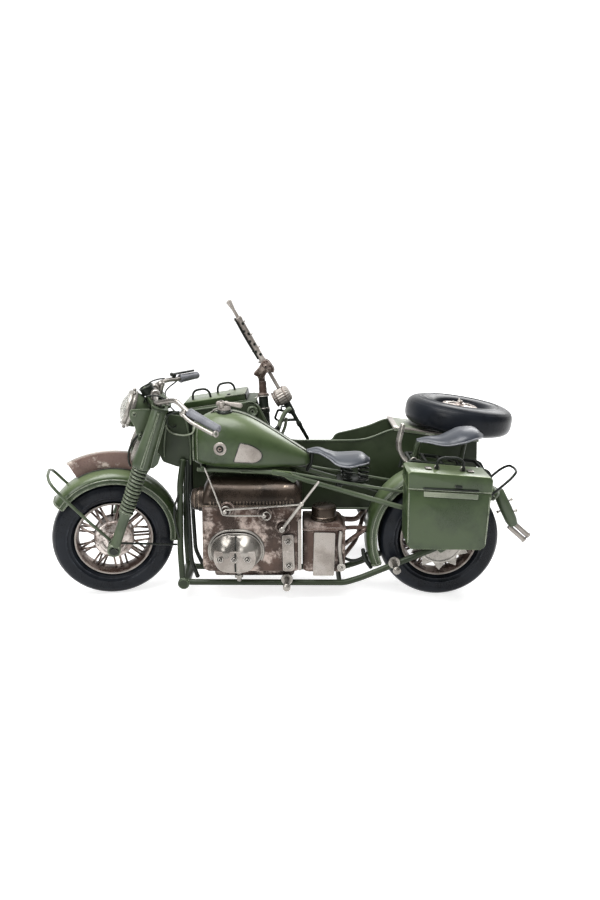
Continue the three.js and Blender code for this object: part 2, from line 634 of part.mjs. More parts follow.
for (const [side, y] of [['left', -LEG_HALF], ['right', LEG_HALF]]) {
  const x = -LEG_OFFSET;
  const bore = rod(point(x, y - 6, FRONT_AXLE), point(x, y + 6, FRONT_AXLE), AXLE_RADIUS + GAP, 12);
  add(`fork_leg_${side}`, cut(join(
    rod(point(x, y, -42), point(x, y, 1), 5.5, 14),
    rod(point(x, y, -79), point(x, y, -42), 4.8, 12),
    rod(point(x, y, FRONT_AXLE), point(x, y, -79), 3, 10),
    rod(point(x, y - 3.2, FRONT_AXLE), point(x, y + 3.2, FRONT_AXLE), 5, 12),
  ), bore), GREY_GREEN(), steering);
}
const yokeOutline = (reach) => new THREE.Shape([
  flat(reach, -9), flat(reach, 9), flat(1, 21), flat(-LEG_OFFSET - 4, 21), flat(-9, 9), flat(-9, -9),
  flat(-LEG_OFFSET - 4, -21), flat(1, -21),
]);
const yokePlate = (low, thick, reach) => new THREE.ExtrudeGeometry(
  yokeOutline(reach), { depth: thick, bevelEnabled: false }).translate(0, 0, low);
add('fork_yoke', join(
  yokePlate(-3.6, 3, 8),
  yokePlate(-39, 3, 7),
  rod(point(0, 0, -38.6), point(0, 0, 4.5), 3.9, 14),
), DARK_GREEN(), steering);

// The headlamp looks ahead along -X.
const lampProfile = [[0, 0], [6, 0.6], [11, 4], [13.6, 9], [14.6, 12], [14.6, 17], [0, 17]];
const lamp = new THREE.LatheGeometry(lampProfile.map(([r, a]) => flat(r, a)), 20);
add('headlamp', lamp.rotateZ(Math.PI / 2).translate(-9.4, 0, -9.5), GREY_GREEN(), steering);
const lensProfile = [[0, 0], [13.4, 0], [13.4, 0.8], [9, 2.6], [4.5, 3.4], [0, 3.6]];
const lens = new THREE.LatheGeometry(lensProfile.map(([r, a]) => flat(r, a)), 20);
add('headlamp_lens', lens.rotateZ(Math.PI / 2).translate(-26.7, 0, -9.5), LENS(), steering);

// The bar rises from the near leg, dips over the yoke and ends in two swept grips.
const barPath = [
  [34, -66, 9.5], [14, -50, 11.5], [5, -40, 14.2], [-1.5, -33, 10], [-5, -26, 5.2], [-6, -16, 4],
  [-6, 0, 4], [-6, 16, 4], [-5, 26, 5.5], [-1, 34, 11], [5, 41, 15], [15, 51, 15.5], [29, 66, 18.5],
].map(([x, y, z]) => point(x, y, z));
const bars = new THREE.CatmullRomCurve3(barPath, false, 'centripetal');
add('handlebar', new THREE.ExtrudeGeometry(disc(1.7, 6), { steps: 30, extrudePath: bars }),
  GREY_GREEN(), steering);

add('front_axle', rod(
  point(-LEG_OFFSET, -31.6, FRONT_AXLE), point(-LEG_OFFSET, 31.6, FRONT_AXLE), AXLE_RADIUS, 14,
), SILVER(), steering);

// The front guard sits a little above the wheel; its angles are counted from the rear, upward.
const frontGuard = arched(
  guardSection(GUARD_HALF - 0.6, GUARD_WALL, 8), -LEG_OFFSET - 1.2, FRONT_AXLE + 3.6, 50.8, 15, 160, 14);
add('front_mudguard', frontGuard, GREEN(), steering);
const crest = arched(
  [[-1.4, 0.5], [1.4, 0.5], [1.4, 13.5], [-1.4, 13.5]], -LEG_OFFSET - 1.2, FRONT_AXLE + 3.6, 50.8, 82, 138, 8);
add('number_plate', crest, RUST(), steering);

const stayY = 17.5;
add('front_stay', join(
  bent([
    point(-4, -stayY, -108), point(-28, -stayY, -92), point(-50, -stayY + 0.4, -77),
    point(-60, -14, -68.6), point(-62, -7, -67.2), point(-62, 7, -67.2), point(-60, 14, -68.6),
    point(-50, stayY - 0.4, -77), point(-28, stayY, -92), point(-4, stayY, -108),
  ], 1.1, 24, 6),
  cut(rod(point(-LEG_OFFSET, -stayY - 1.1, FRONT_AXLE), point(-LEG_OFFSET, -stayY + 1.1, FRONT_AXLE), 4.4, 8),
    rod(point(-LEG_OFFSET, -30, FRONT_AXLE), point(-LEG_OFFSET, 0, FRONT_AXLE), AXLE_RADIUS + GAP, 8)),
  cut(rod(point(-LEG_OFFSET, stayY - 1.1, FRONT_AXLE), point(-LEG_OFFSET, stayY + 1.1, FRONT_AXLE), 4.4, 8),
    rod(point(-LEG_OFFSET, 0, FRONT_AXLE), point(-LEG_OFFSET, 30, FRONT_AXLE), AXLE_RADIUS + GAP, 8)),
  rod(point(0, -stayY, FRONT_AXLE + 1.6), point(44, -15, -99), 0.9, 5),
  rod(point(0, stayY, FRONT_AXLE + 1.6), point(44, 15, -99), 0.9, 5),
), BLACK_WIRE(), steering);

const frontWheel = new THREE.Group();
frontWheel.position.set(-LEG_OFFSET, 0, FRONT_AXLE);
frontWheel.rotation.y = -RAKE;
steering.add(frontWheel);
add('front_tyre', tyre(WHEEL_RADIUS), TYRE_RUBBER(), frontWheel);
add('front_wheel', wheel(), RUST(), frontWheel);

// ---------------------------------------------------------------- origin
model.updateMatrixWorld(true);
const bounds = new THREE.Box3().setFromObject(model, true);
model.position.set(
  -(bounds.min.x + bounds.max.x) / 2, -(bounds.min.y + bounds.max.y) / 2, -bounds.min.z);
model.updateMatrixWorld(true);

export default model;
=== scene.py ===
# %% [markdown]
# # A hand-made tin motorcycle with a sidecar
# This lesson dresses a finished CAD frame. The frame says where every part is and how it
# moves; here each plain CAD solid is replaced by a finer surface with a worn finish.
# The shelf model is cut from sheet tin, bent wire and small castings, then painted by hand,
# so the lesson is about thin sheets, wires, rolled edges and rubbed paint.
# %% Load the frame
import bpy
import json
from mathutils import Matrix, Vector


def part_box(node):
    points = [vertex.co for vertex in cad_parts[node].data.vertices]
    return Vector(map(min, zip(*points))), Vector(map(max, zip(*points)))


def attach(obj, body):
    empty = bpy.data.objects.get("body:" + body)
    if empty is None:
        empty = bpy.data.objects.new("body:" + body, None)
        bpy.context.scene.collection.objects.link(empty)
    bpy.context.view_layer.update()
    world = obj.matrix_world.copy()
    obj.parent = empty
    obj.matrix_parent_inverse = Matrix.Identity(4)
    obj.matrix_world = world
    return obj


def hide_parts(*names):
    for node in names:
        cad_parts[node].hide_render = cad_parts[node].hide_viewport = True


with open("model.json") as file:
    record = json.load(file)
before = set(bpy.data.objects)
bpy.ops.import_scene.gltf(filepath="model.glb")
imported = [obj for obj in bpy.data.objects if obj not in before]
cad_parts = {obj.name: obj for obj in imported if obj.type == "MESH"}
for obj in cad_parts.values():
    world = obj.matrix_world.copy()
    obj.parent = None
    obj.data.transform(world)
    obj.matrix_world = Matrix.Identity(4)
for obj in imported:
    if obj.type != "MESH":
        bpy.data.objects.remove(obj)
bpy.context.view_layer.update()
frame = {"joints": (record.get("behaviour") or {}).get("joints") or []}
import json
import math
import bmesh
import bpy
import numpy as np
from mathutils import Vector

# %% [markdown]
# ## Places
# All shapes below are written in millimetres in a local seat: the whole model's seat has its
# origin where the rear tyre meets the floor, with the front towards -X and up along +Z.
# A seat is a 4 by 4 matrix, so one product carries a whole array of points into the model's
# metres. The steering, wheel and gun seats come from the frame's joints, so each piece
# lands exactly on the axis that it turns about. A body that has no seat of its own in the
# table uses the model's.
# %% Seats
MM = 0.001


def unit(vector):
    """A vector, or each row of an array, divided by its length."""
    vector = np.asarray(vector, float)
    return vector / np.linalg.norm(vector, axis=-1, keepdims=True)


def signed(value, power):
    """The size of a value to a power, with the value's sign."""
    return np.sign(value) * np.abs(value) ** power


def seat(origin, x_axis, y_axis):
    """A matrix from local millimetres to the model's metres: its columns are the two axes
    given, their cross product, and the origin."""
    x_axis, y_axis = unit(x_axis), unit(y_axis)
    matrix = np.eye(4)
    matrix[:3, 0] = x_axis * MM
    matrix[:3, 1] = y_axis * MM
    matrix[:3, 2] = np.cross(x_axis, y_axis) * MM
    matrix[:3, 3] = origin
    return matrix


def joint(name):
    """Position and axis of a joint, as arrays in the model's frame."""
    found = next(j for j in frame["joints"] if j["name"] == name)
    return np.array(found["pos_m"]), np.array(found["axis"])


def axle_seat(name):
    """The seat of a wheel: Y runs along its joint's axis, and X is as near as can be to the
    model's X, which is X less its share along the axis."""
    place, axis = joint(name)
    ahead = np.array([1.0, 0.0, 0.0]) - axis[0] * axis
    return seat(place, ahead, axis)


rear_low, rear_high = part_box("rear_tyre")
HOME = seat([(rear_low.x + rear_high.x) / 2, (rear_low.y + rear_high.y) / 2, 0.0], [1, 0, 0],
    [0, 1, 0])
head_place, head_axis = joint("steering")
wheel_axis = joint("front_wheel_spin")[1]
STEER = seat(head_place, np.cross(wheel_axis, head_axis), wheel_axis)
BARREL_RISE = math.radians(60.5)
GUN = seat(joint("gun_elevation")[0], [math.cos(BARREL_RISE), 0, -math.sin(BARREL_RISE)],
    [0, 1, 0])
SEAT_OF = {"fork": STEER, "gun": GUN}
for wheel, turns in (("rear", "rear_wheel_spin"), ("sidecar", "sidecar_wheel_spin"),
        ("front", "front_wheel_spin"), ("spare", "spare_wheel_turn")):
    SEAT_OF[f"{wheel}_wheel_set"] = axle_seat(turns)
print("seats: model", HOME[:3, 3].round(4), "steering", STEER[:3, 3].round(4))

# %% [markdown]
# ## Surfaces from arrays
# Sheet, wire and turned work all come down to one thing: a stack of rings, each ring joined
# to the next by quads. A wire's rings are circles along a path, a turned part's rings are
# circles about an axis, and a tank's rings are its cross sections. So there is one function
# that skins a stack of rings, and small ones that work out the rings as whole arrays.
# %% A shape and its skin
class Shape:
    """Points (n, 3) in millimetres, and a list of face arrays that index them."""

    def __init__(self, points, faces):
        self.points = np.asarray(points, float).reshape(-1, 3)
        self.faces = [np.asarray(f, int) for f in faces]

    def __add__(self, other):
        moved = [f + len(self.points) for f in other.faces]
        return Shape(np.vstack([self.points, other.points]), self.faces + moved)



def total(shapes):
    """All the shapes as one."""
    result = None
    for shape in shapes:
        result = shape if result is None else result + shape
    return result


def skin(rings, loop=False, flat_ends=False):
    """Quads join each ring to the next. The ends are closed by a fan about their middle, or
    by one flat face, or with loop the last ring joins the first."""
    rings = np.asarray(rings, float)
    count, size = rings.shape[:2]
    i, j = np.meshgrid(np.arange(count if loop else count - 1), np.arange(size), indexing="ij")
    beside, above = (j + 1) % size, (i + 1) % count
    quads = np.stack([i * size + j, i * size + beside, above * size + beside, above * size + j], -1)
    quads = quads.reshape(-1, 4)
    points = rings.reshape(-1, 3)
    if loop:
        return Shape(points, [quads])
    a = np.arange(size)
    b = (a + 1) % size
    last = (count - 1) * size
    if flat_ends:
        return Shape(points, [quads, a[None, ::-1], (last + a)[None]])
    middles = np.stack([rings[0].mean(0), rings[-1].mean(0)])
    near = np.stack([np.full(size, count * size), b, a], -1)
    far = np.stack([np.full(size, count * size + 1), last + a, last + b], -1)
    return Shape(np.vstack([points, middles]), [quads, near, far])


def circle(radius=1.0, sides=12):
    """Points of a circle: radius times the cosine and sine of even angles."""
    angle = np.linspace(0, 2 * np.pi, sides, endpoint=False)
    return radius * np.stack([np.cos(angle), np.sin(angle)], -1)


def smooth_path(points, steps):
    """A curve through the points. The parameter grows with the square root of each distance,
    and each stretch is a cubic whose end slopes are those of the neighbouring points."""
    p = np.asarray(points, float)
    knot = np.r_[0, np.cumsum(np.sqrt(np.linalg.norm(np.diff(p, axis=0), axis=1)))]
    slope = np.gradient(p, knot, axis=0)
    s = np.linspace(0, knot[-1], steps)
    k = np.clip(np.searchsorted(knot, s, side="right") - 1, 0, len(knot) - 2)
    h = (knot[k + 1] - knot[k])[:, None]
    u = ((s - knot[k]) / h[:, 0])[:, None]
    return ((1 + 2 * u) * (1 - u) ** 2 * p[k] + u * (1 - u) ** 2 * h * slope[k] + u * u
        * (3 - 2 * u) * p[k + 1] + u * u * (u - 1) * h * slope[k + 1])


def sweep(path, section, scale=None, loop=False, flat_ends=False, up=None):
    """Carries a flat section along a path. At each point the section's first axis is the
    cross product of up and the path's direction, and its second axis is square to both. Up
    is the direction in which the path spreads least."""
    path = np.asarray(path, float)
    if loop:
        along = np.roll(path, -1, 0) - np.roll(path, 1, 0)
    else:
        along = np.gradient(path, axis=0)
    along = unit(along)
    if up is None:
        up = np.linalg.svd(path - path.mean(0) + 1e-9)[2][-1]
    side = unit(np.cross(np.asarray(up, float), along))
    rise = np.cross(along, side)
    size = np.ones(len(path)) if scale is None else np.asarray(scale, float)
    rings = (path[:, None] + size[:, None, None] * (section[None, :, :1] * side[:, None]
        + section[None, :, 1:] * rise[:, None]))
    return skin(rings, loop, flat_ends)


def wire(points, radius, steps=None, sides=10, loop=False, up=None):
    """Round wire through the points. Near each end its radius falls off along a quarter of a
    circle, so the cut ends look filed."""
    points = np.asarray(points, float)
    steps = steps or 6 * len(points)
    if loop:
        return sweep(smooth_loop(points, steps), circle(radius, sides), loop=True, up=up)
    path = smooth_path(points, steps)
    ends = np.array([0.0, 0.12, 0.45])
    run = np.r_[0, np.cumsum(np.linalg.norm(np.diff(path, axis=0), axis=1))]
    extra = np.r_[ends * radius, run[-1] - ends[::-1] * radius]
    where = np.unique(np.r_[extra, run[(run > 0.6 * radius) & (run < run[-1] - 0.6 * radius)]])
    path = np.stack([np.interp(where, run, path[:, k]) for k in range(3)], -1)
    depth = np.clip(1 - np.minimum(where, run[-1] - where) / (0.6 * radius), 0, 1)
    return sweep(path, circle(radius, sides), np.sqrt(1 - 0.6 * depth ** 2), up=up)


def smooth_loop(points, steps):
    """A closed curve through the points: the path is laid round three times, and the middle
    lap is kept, so that both its ends meet with the same slope."""
    lap = len(points)
    laps = np.asarray([*points] * 3 + [points[0]], float)
    knot = np.r_[0, np.cumsum(np.sqrt(np.linalg.norm(np.diff(laps, axis=0), axis=1)))]
    long = smooth_path(laps, steps * 12 + 1)
    run = np.linspace(0, knot[-1], len(long))
    where = np.linspace(knot[lap], knot[2 * lap], steps, endpoint=False)
    return np.stack([np.interp(where, run, long[:, k]) for k in range(3)], -1)


def rod(start, end, radius, end_radius=None, sides=16, chamfer=0.3):
    """A straight round bar whose radius changes evenly, with a small chamfer at both ends."""
    start, end = np.asarray(start, float), np.asarray(end, float)
    end_radius = radius if end_radius is None else end_radius
    length = np.linalg.norm(end - start)
    chamfer = min(chamfer, length / 3, radius / 2, end_radius / 2)
    share = np.array([0, chamfer / length, 1 - chamfer / length, 1])
    radii = np.array([radius - chamfer, radius, end_radius, end_radius - chamfer])
    return sweep(start + share[:, None] * (end - start), circle(1.0, sides), radii)


def lathe(profile, place=(0, 0, 0), axis=(0, 1, 0), segments=48, loop=False):
    """Turns (radius, along) points about an axis through a place. With loop the profile is a
    closed outline, and otherwise it starts and ends on the axis."""
    axis = unit(axis)
    side = unit(np.cross(axis, [0.31, 0.17, 0.93] if abs(axis[2]) < 0.9 else [1.0, 0.0, 0.0]))
    other = np.cross(axis, side)
    angle = np.linspace(0, 2 * np.pi, segments, endpoint=False)
    spoke = np.cos(angle)[:, None] * side + np.sin(angle)[:, None] * other
    profile = np.asarray(profile, float)
    rings = (np.asarray(place, float) + profile[:, None, 1:] * axis + profile[:, None, :1]
        * spoke[None])
    return skin(rings, loop)


def bead_ring(radius, thickness, place, axis=(0, 1, 0), segments=64, sides=10):
    """A ring of round wire: a circle turned about an axis outside it."""
    return lathe(circle(thickness, sides) + [radius, 0], place, axis, segments, loop=True)


def eased(p, before, after, reach, limit, steps):
    """Corners cut by parabolas: each runs from a point on the edge to the corner before it to
    a point on the edge to the corner after it, both at the reach from the corner, but never
    further than the limit's share of the edge."""
    back, ahead = before - p, after - p
    a = p + back * np.minimum(reach / np.linalg.norm(back, axis=1, keepdims=True), limit)
    b = p + ahead * np.minimum(reach / np.linalg.norm(ahead, axis=1, keepdims=True), limit)
    t = np.linspace(0, 1, steps)[None, :, None]
    arc = (1 - t) ** 2 * a[:, None] + 2 * t * (1 - t) * p[:, None] + t * t * b[:, None]
    return arc.reshape(-1, p.shape[1])


def rounded(corners, radii, steps=5):
    """An outline whose corners are rounded, each by its own radius."""
    p = np.asarray(corners, float)
    r = np.broadcast_to(np.asarray(radii, float), len(p))[:, None]
    return eased(p, np.roll(p, 1, 0), np.roll(p, -1, 0), r, 0.48, steps)


def slab(outline, low, high, soft=0.3):
    """A flat sheet: an outline in X and Z between two values of Y, its edges eased by moving
    the outermost rings inward by the softness."""
    outline = np.asarray(outline, float)
    along = np.roll(outline, -1, 0) - np.roll(outline, 1, 0)
    area = np.sum(outline[:, 0] * np.roll(outline[:, 1], -1) - np.roll(outline[:, 0], -1)
        * outline[:, 1])
    inward = np.stack([-along[:, 1], along[:, 0]], -1) * np.sign(area)
    inward = inward / np.maximum(np.linalg.norm(inward, axis=1, keepdims=True), 1e-9)
    soft = min(soft, (high - low) / 2.5)
    steps = [(0.0, 1.0), (0.3, 0.3), (1.0, 0.0)]
    levels = ([(low + soft * d, soft * i) for d, i in steps] + [(high - soft * d, soft * i) for d,
        i in steps[::-1]])
    rings = [np.insert(outline + inward * pull, 1, y, axis=1) for y, pull in levels]
    return skin(rings, flat_ends=True)


def sheet(corners, radii, low, high, soft=0.3, steps=5):
    """A flat sheet whose outline has rounded corners."""
    return slab(rounded(corners, radii, steps), low, high, soft)


def lying(shape):
    """Turns a slab's outline from the XZ plane into the XY plane: (x, y, z) becomes
    (x, z, y)."""
    return Shape(shape.points[:, [0, 2, 1]], shape.faces)


def both_sides(shape):
    """A near-side shape and its mirror image on the Y = 0 plane."""
    return shape + Shape(shape.points * [1, -1, 1], shape.faces)


def bolt(place, axis, radius, height=None):
    """A domed screw head: a profile of a quarter circle, with a sunk middle."""
    height = height or 0.7 * radius
    rise = np.linspace(0, np.pi / 2, 6)[:-1]
    profile = [(0, -0.4 * height), (radius, -0.4 * height)]
    profile += [(radius * (0.55 + 0.45 * math.cos(a)), height * math.sin(a)) for a in rise]
    profile += [(0.5 * radius, height), (0.42 * radius, 0.2 * height), (0, 0.15 * height)]
    return lathe(profile, place, axis, 20)


def nut(place, axis, radius, height):
    """A six-sided nut with a round washer under it."""
    shape = sweep(np.asarray(place, float) + np.outer([0, 0.15, 0.85, 1], unit(axis)) * height,
        circle(radius, 6), [0.94, 1, 1, 0.9])
    return shape + rod(np.asarray(place) - unit(axis) * 0.3 * height, place, 1.25 * radius)


def interp(values, share):
    """Smooth values over even shares: the curve through them, read at each share."""
    knots = np.linspace(0, 1, len(values))
    path = smooth_path(np.stack([knots * len(values), values], -1), 400)
    return np.interp(share, path[:, 0] / len(values), path[:, 1])


print("surface tools ready")

# %% [markdown]
# ## Worn paint
# The whole model shares one story of wear: paint is rubbed off raised edges, dark wash sits
# in the recesses, and everything has a fine mottled grain. That effect is one node group. It
# measures edges by comparing the true normal with one that is rounded over a small radius,
# and recesses by how much sky a point can see. It puts out masks only, so that each
# material decides what to do with them.
# %% The wear group
def add_node(tree, kind, inputs=None, **settings):
    """A node of a kind, with its settings, and its inputs given as values or as sockets."""
    node = tree.nodes.new(kind)
    for key, value in settings.items():
        setattr(node, key, value)
    for key, value in (inputs or {}).items():
        if isinstance(value, bpy.types.NodeSocket):
            tree.links.new(value, node.inputs[key])
        else:
            node.inputs[key].default_value = value
    return node


def calc(tree, operation, a, b=0.0, clamp=False):
    """One arithmetic step on two values or sockets."""
    node = add_node(tree, "ShaderNodeMath", {0: a, 1: b}, operation=operation, use_clamp=clamp)
    return node.outputs[0]


def ramp(tree, value, low, high, out_low=0.0, out_high=1.0):
    """Carries a value smoothly from one range to another."""
    node = add_node(tree, "ShaderNodeMapRange", {"Value": value, "From Min": low, "From Max": high,
        "To Min": out_low, "To Max": out_high}, interpolation_type="SMOOTHSTEP")
    return node.outputs["Result"]


def wear_group():
    """Masks of wear. Edge is 1 on rubbed edges, Grime is 1 in recesses, Mottle is a slow
    cloud from 0 to 1, and Grain is a fine speckle from 0 to 1."""
    group = bpy.data.node_groups.new("tin_wear", "ShaderNodeTree")
    face = group.interface
    for name, value in (("Edge Radius", 0.0006), ("Recess Reach", 0.006), ("Scale", 1.0),
            ("Rub", 0.5), ("Dirt", 0.5)):
        made = face.new_socket(name=name, in_out="INPUT", socket_type="NodeSocketFloat")
        made.default_value = value
    for name in ("Edge", "Grime", "Mottle", "Grain"):
        face.new_socket(name=name, in_out="OUTPUT", socket_type="NodeSocketFloat")
    start = add_node(group, "NodeGroupInput").outputs
    end = add_node(group, "NodeGroupOutput").inputs
    place = add_node(group, "ShaderNodeTexCoord").outputs["Object"]

    def cloud(scale, detail, roughness=0.6):
        size = calc(group, "MULTIPLY", start["Scale"], scale)
        return add_node(group, "ShaderNodeTexNoise", {"Vector": place, "Scale": size,
            "Detail": detail, "Roughness": roughness}).outputs["Fac"]

    slow, middle, fine = cloud(38.0, 4.0), cloud(210.0, 5.0), cloud(1500.0, 3.0)
    soft = add_node(group, "ShaderNodeBevel", {"Radius": start["Edge Radius"]}, samples=4)
    true = add_node(group, "ShaderNodeNewGeometry").outputs["Normal"]
    same = add_node(group, "ShaderNodeVectorMath", {0: soft.outputs[0], 1: true},
        operation="DOT_PRODUCT").outputs["Value"]
    bend = ramp(group, calc(group, "SUBTRACT", 1.0, same), 0.004, 0.12)
    broken = calc(group, "ADD", calc(group, "MULTIPLY", middle, 0.75),
        calc(group, "MULTIPLY", fine, 0.25))
    limit = calc(group, "SUBTRACT", 1.0, start["Rub"])
    rubbed = ramp(group, calc(group, "SUBTRACT", broken, calc(group, "MULTIPLY", limit, 0.8)), 0.0,
        0.12)
    sky = add_node(group, "ShaderNodeAmbientOcclusion", {"Distance": start["Recess Reach"]},
        samples=5).outputs["AO"]
    shade = ramp(group, sky, 0.85, 0.25)
    grime = calc(group, "MULTIPLY", calc(group, "ADD", shade, calc(group, "MULTIPLY",
        ramp(group, slow, 0.5, 0.75), 0.25)), start["Dirt"], clamp=True)
    open_edge = calc(group, "MULTIPLY", calc(group, "MULTIPLY", bend, rubbed),
        calc(group, "SUBTRACT", 1.0, calc(group, "MULTIPLY", shade, 0.8)))
    for name, value in (("Edge", open_edge), ("Grime", grime), ("Mottle", slow), ("Grain", fine)):
        group.links.new(value, end[name])
    return group


WEAR = wear_group()
print("wear group:", len(WEAR.nodes), "nodes")

# %% [markdown]
# ## The finishes
# Every finish on this model is the same recipe with other values: two tones of a base colour
# mixed by the cloud, a rubbed colour on the edges, dark wash in the recesses, and a roughness
# that follows them. The greens also add a painted highlight on faces that look up. What differs
# is how much of it is metal. Writing the recipe once keeps the finishes related, as they are on a
# model painted at one bench.
# %% The recipe
def colour_mix(tree, factor, a, b):
    """A blend of two colours or sockets by a factor."""
    node = add_node(tree, "ShaderNodeMix", {"Factor": factor}, data_type="RGBA")
    for socket, value in ((node.inputs[6], a), (node.inputs[7], b)):
        if isinstance(value, bpy.types.NodeSocket):
            tree.links.new(value, socket)
        else:
            socket.default_value = (*value, 1.0)
    return node.outputs[2]


FINISH = {}


def worn(name, slot, base, light, rubbed, wash, roughness=(0.35, 0.5), metal=(0.0, 0.8), rub=0.5,
        dirt=0.5, edge=0.5, reach=5.0, scale=1.0, patches=0.0, bump=0.15, coat=0.0, speckle=0.0,
        glint=0.4, top_highlight=0.0):
    """Makes a finish: base and light mixed by the cloud, rubbed colour where Edge is 1 or
    the patches of bare metal show, and wash where Grime is 1. Top highlight is how much of the
    rubbed colour is mixed onto faces that look up: a painted highlight where the light from
    above falls. Edge and reach are in mm."""
    material = bpy.data.materials.new(name)
    material.use_nodes = True
    tree = material.node_tree
    shader = tree.nodes["Principled BSDF"]
    wear = add_node(tree, "ShaderNodeGroup", node_tree=WEAR)
    for key, value in (("Edge Radius", edge * MM), ("Recess Reach", reach * MM), ("Scale", scale),
            ("Rub", rub), ("Dirt", dirt)):
        wear.inputs[key].default_value = value
    mottle, grain = wear.outputs["Mottle"], wear.outputs["Grain"]
    colour = colour_mix(tree, ramp(tree, mottle, 0.36, 0.64), base, light)
    if speckle:
        colour = colour_mix(tree, ramp(tree, grain, 0.58, 0.7, 0.0, speckle), colour, wash)
    # Painted highlight: faces that look up are lightened towards the rubbed colour, standing in for
    # the light that falls from above.
    if top_highlight:
        normal = add_node(tree, "ShaderNodeNewGeometry").outputs["Normal"]
        upward = add_node(tree, "ShaderNodeSeparateXYZ", {"Vector": normal}).outputs["Z"]
        colour = colour_mix(tree, ramp(tree, upward, 0.25, 0.9, 0.0, top_highlight), colour, rubbed)
    bare = wear.outputs["Edge"]
    if patches:
        place = add_node(tree, "ShaderNodeTexCoord").outputs["Object"]
        spots = add_node(tree, "ShaderNodeTexNoise", {"Vector": place, "Scale": 90.0 * scale,
            "Detail": 6.0, "Roughness": 0.7}).outputs["Fac"]
        spread = ramp(tree, spots, 0.66 - 0.25 * patches, 0.78 - 0.2 * patches, 0.0, 0.85)
        bare = calc(tree, "MAXIMUM", bare, spread)
    colour = colour_mix(tree, bare, colour, rubbed)
    colour = colour_mix(tree, wear.outputs["Grime"], colour, wash)
    clean = calc(tree, "SUBTRACT", 1.0, wear.outputs["Grime"])
    shine = calc(tree, "MULTIPLY", bare, clean)
    rough = ramp(tree, calc(tree, "ADD", calc(tree, "MULTIPLY", mottle, 0.6),
        calc(tree, "MULTIPLY", grain, 0.4)), 0.35, 0.65, *roughness)
    rough = calc(tree, "ADD", rough, calc(tree, "MULTIPLY", wear.outputs["Grime"], 0.25), True)
    metallic = calc(tree, "ADD", metal[0], calc(tree, "MULTIPLY", shine, metal[1] - metal[0]))
    tree.links.new(colour, shader.inputs["Base Color"])
    tree.links.new(rough, shader.inputs["Roughness"])
    tree.links.new(metallic, shader.inputs["Metallic"])
    height = calc(tree, "ADD", grain, calc(tree, "MULTIPLY", bare, -0.6))
    uneven = add_node(tree, "ShaderNodeBump", {"Height": height, "Strength": bump,
        "Distance": 0.0002})
    tree.links.new(uneven.outputs["Normal"], shader.inputs["Normal"])
    shader.inputs["Coat Weight"].default_value = coat
    shader.inputs["Coat Roughness"].default_value = 0.22
    shader.inputs["Specular IOR Level"].default_value = glint
    FINISH[name] = (material, slot)
    return material


# %% [markdown]
# The greens come first. The tank and the pannier are a lively olive with a satin varnish, the
# sidecar is much darker, and the fork is greyer. Rubbed edges show a pale primer green and
# not bright steel, so their metal stays low.
# %% Paints
# The three greens lighten their upward faces with a painted highlight of the light from above.
worn("green", "green_paint", (0.021, 0.035, 0.012), (0.037, 0.058, 0.021), (0.27, 0.33, 0.18),
    (0.004, 0.008, 0.003), roughness=(0.26, 0.4), metal=(0.0, 0.3), rub=0.55, dirt=0.8, edge=0.6,
    bump=0.1, coat=0.25, glint=0.3, top_highlight=0.3)
worn("deep_green", "dark_green_paint", (0.011, 0.018, 0.006), (0.019, 0.029, 0.011),
    (0.2, 0.25, 0.16), (0.002, 0.004, 0.002), roughness=(0.36, 0.52), metal=(0.0, 0.3), rub=0.58,
    dirt=0.6, edge=0.5, bump=0.15, coat=0.0, glint=0.3, top_highlight=0.1)
worn("grey_green", "grey_green_paint", (0.034, 0.048, 0.025), (0.06, 0.08, 0.044),
    (0.36, 0.39, 0.3), (0.004, 0.007, 0.003), roughness=(0.28, 0.44), metal=(0.05, 0.4), rub=0.55,
    dirt=0.9, edge=0.6, bump=0.12, coat=0.15, glint=0.3, top_highlight=0.12)
worn("pale_green", "green_paint", (0.09, 0.11, 0.07), (0.19, 0.21, 0.15), (0.45, 0.46, 0.39),
    (0.015, 0.022, 0.01), roughness=(0.34, 0.5), metal=(0.0, 0.3), rub=0.6, dirt=0.8, bump=0.2,
    coat=0.1, patches=0.45, speckle=0.5)
worn("black_wire", "black_wire", (0.007, 0.009, 0.007), (0.013, 0.017, 0.012), (0.26, 0.26, 0.22),
    (0.002, 0.003, 0.002), roughness=(0.26, 0.46), metal=(0.2, 0.8), rub=0.42, dirt=0.4, edge=0.35,
    bump=0.15, glint=0.3)
print("paints:", ", ".join(FINISH))

# %% [markdown]
# The engine is painted a rusty brown and dry-brushed with silver, so bare patches show all
# over it and the recesses are almost black. The small fittings are the other way round:
# silver, with a little brown wash. Tyres and saddles are painted too, a satin blue-grey.
# %% Metals, tyres and saddles
worn("rust", "rusty_metal", (0.03, 0.018, 0.013), (0.085, 0.052, 0.04), (0.42, 0.35, 0.31),
    (0.003, 0.002, 0.002), roughness=(0.26, 0.5), metal=(0.45, 0.85), rub=0.62, dirt=1.0, edge=0.9,
    reach=8.0, patches=0.75, bump=0.35, speckle=0.5)
worn("bronze", "rusty_metal", (0.014, 0.01, 0.007), (0.04, 0.028, 0.02), (0.3, 0.24, 0.19),
    (0.002, 0.002, 0.001), roughness=(0.18, 0.36), metal=(0.6, 0.95), rub=0.6, dirt=1.0, edge=0.9,
    reach=8.0, patches=0.25, bump=0.3)
worn("silver", "worn_silver", (0.17, 0.158, 0.142), (0.36, 0.34, 0.31), (0.68, 0.65, 0.6),
    (0.012, 0.008, 0.006), roughness=(0.24, 0.38), metal=(0.8, 0.95), rub=0.6, dirt=1.0, edge=0.6,
    bump=0.1, speckle=0.15)
worn("cream", "worn_silver", (0.2, 0.175, 0.155), (0.36, 0.33, 0.3), (0.62, 0.59, 0.54),
    (0.012, 0.008, 0.005), roughness=(0.3, 0.5), metal=(0.4, 0.7), rub=0.6, dirt=1.0, edge=0.6,
    bump=0.3, speckle=0.6, patches=0.25)
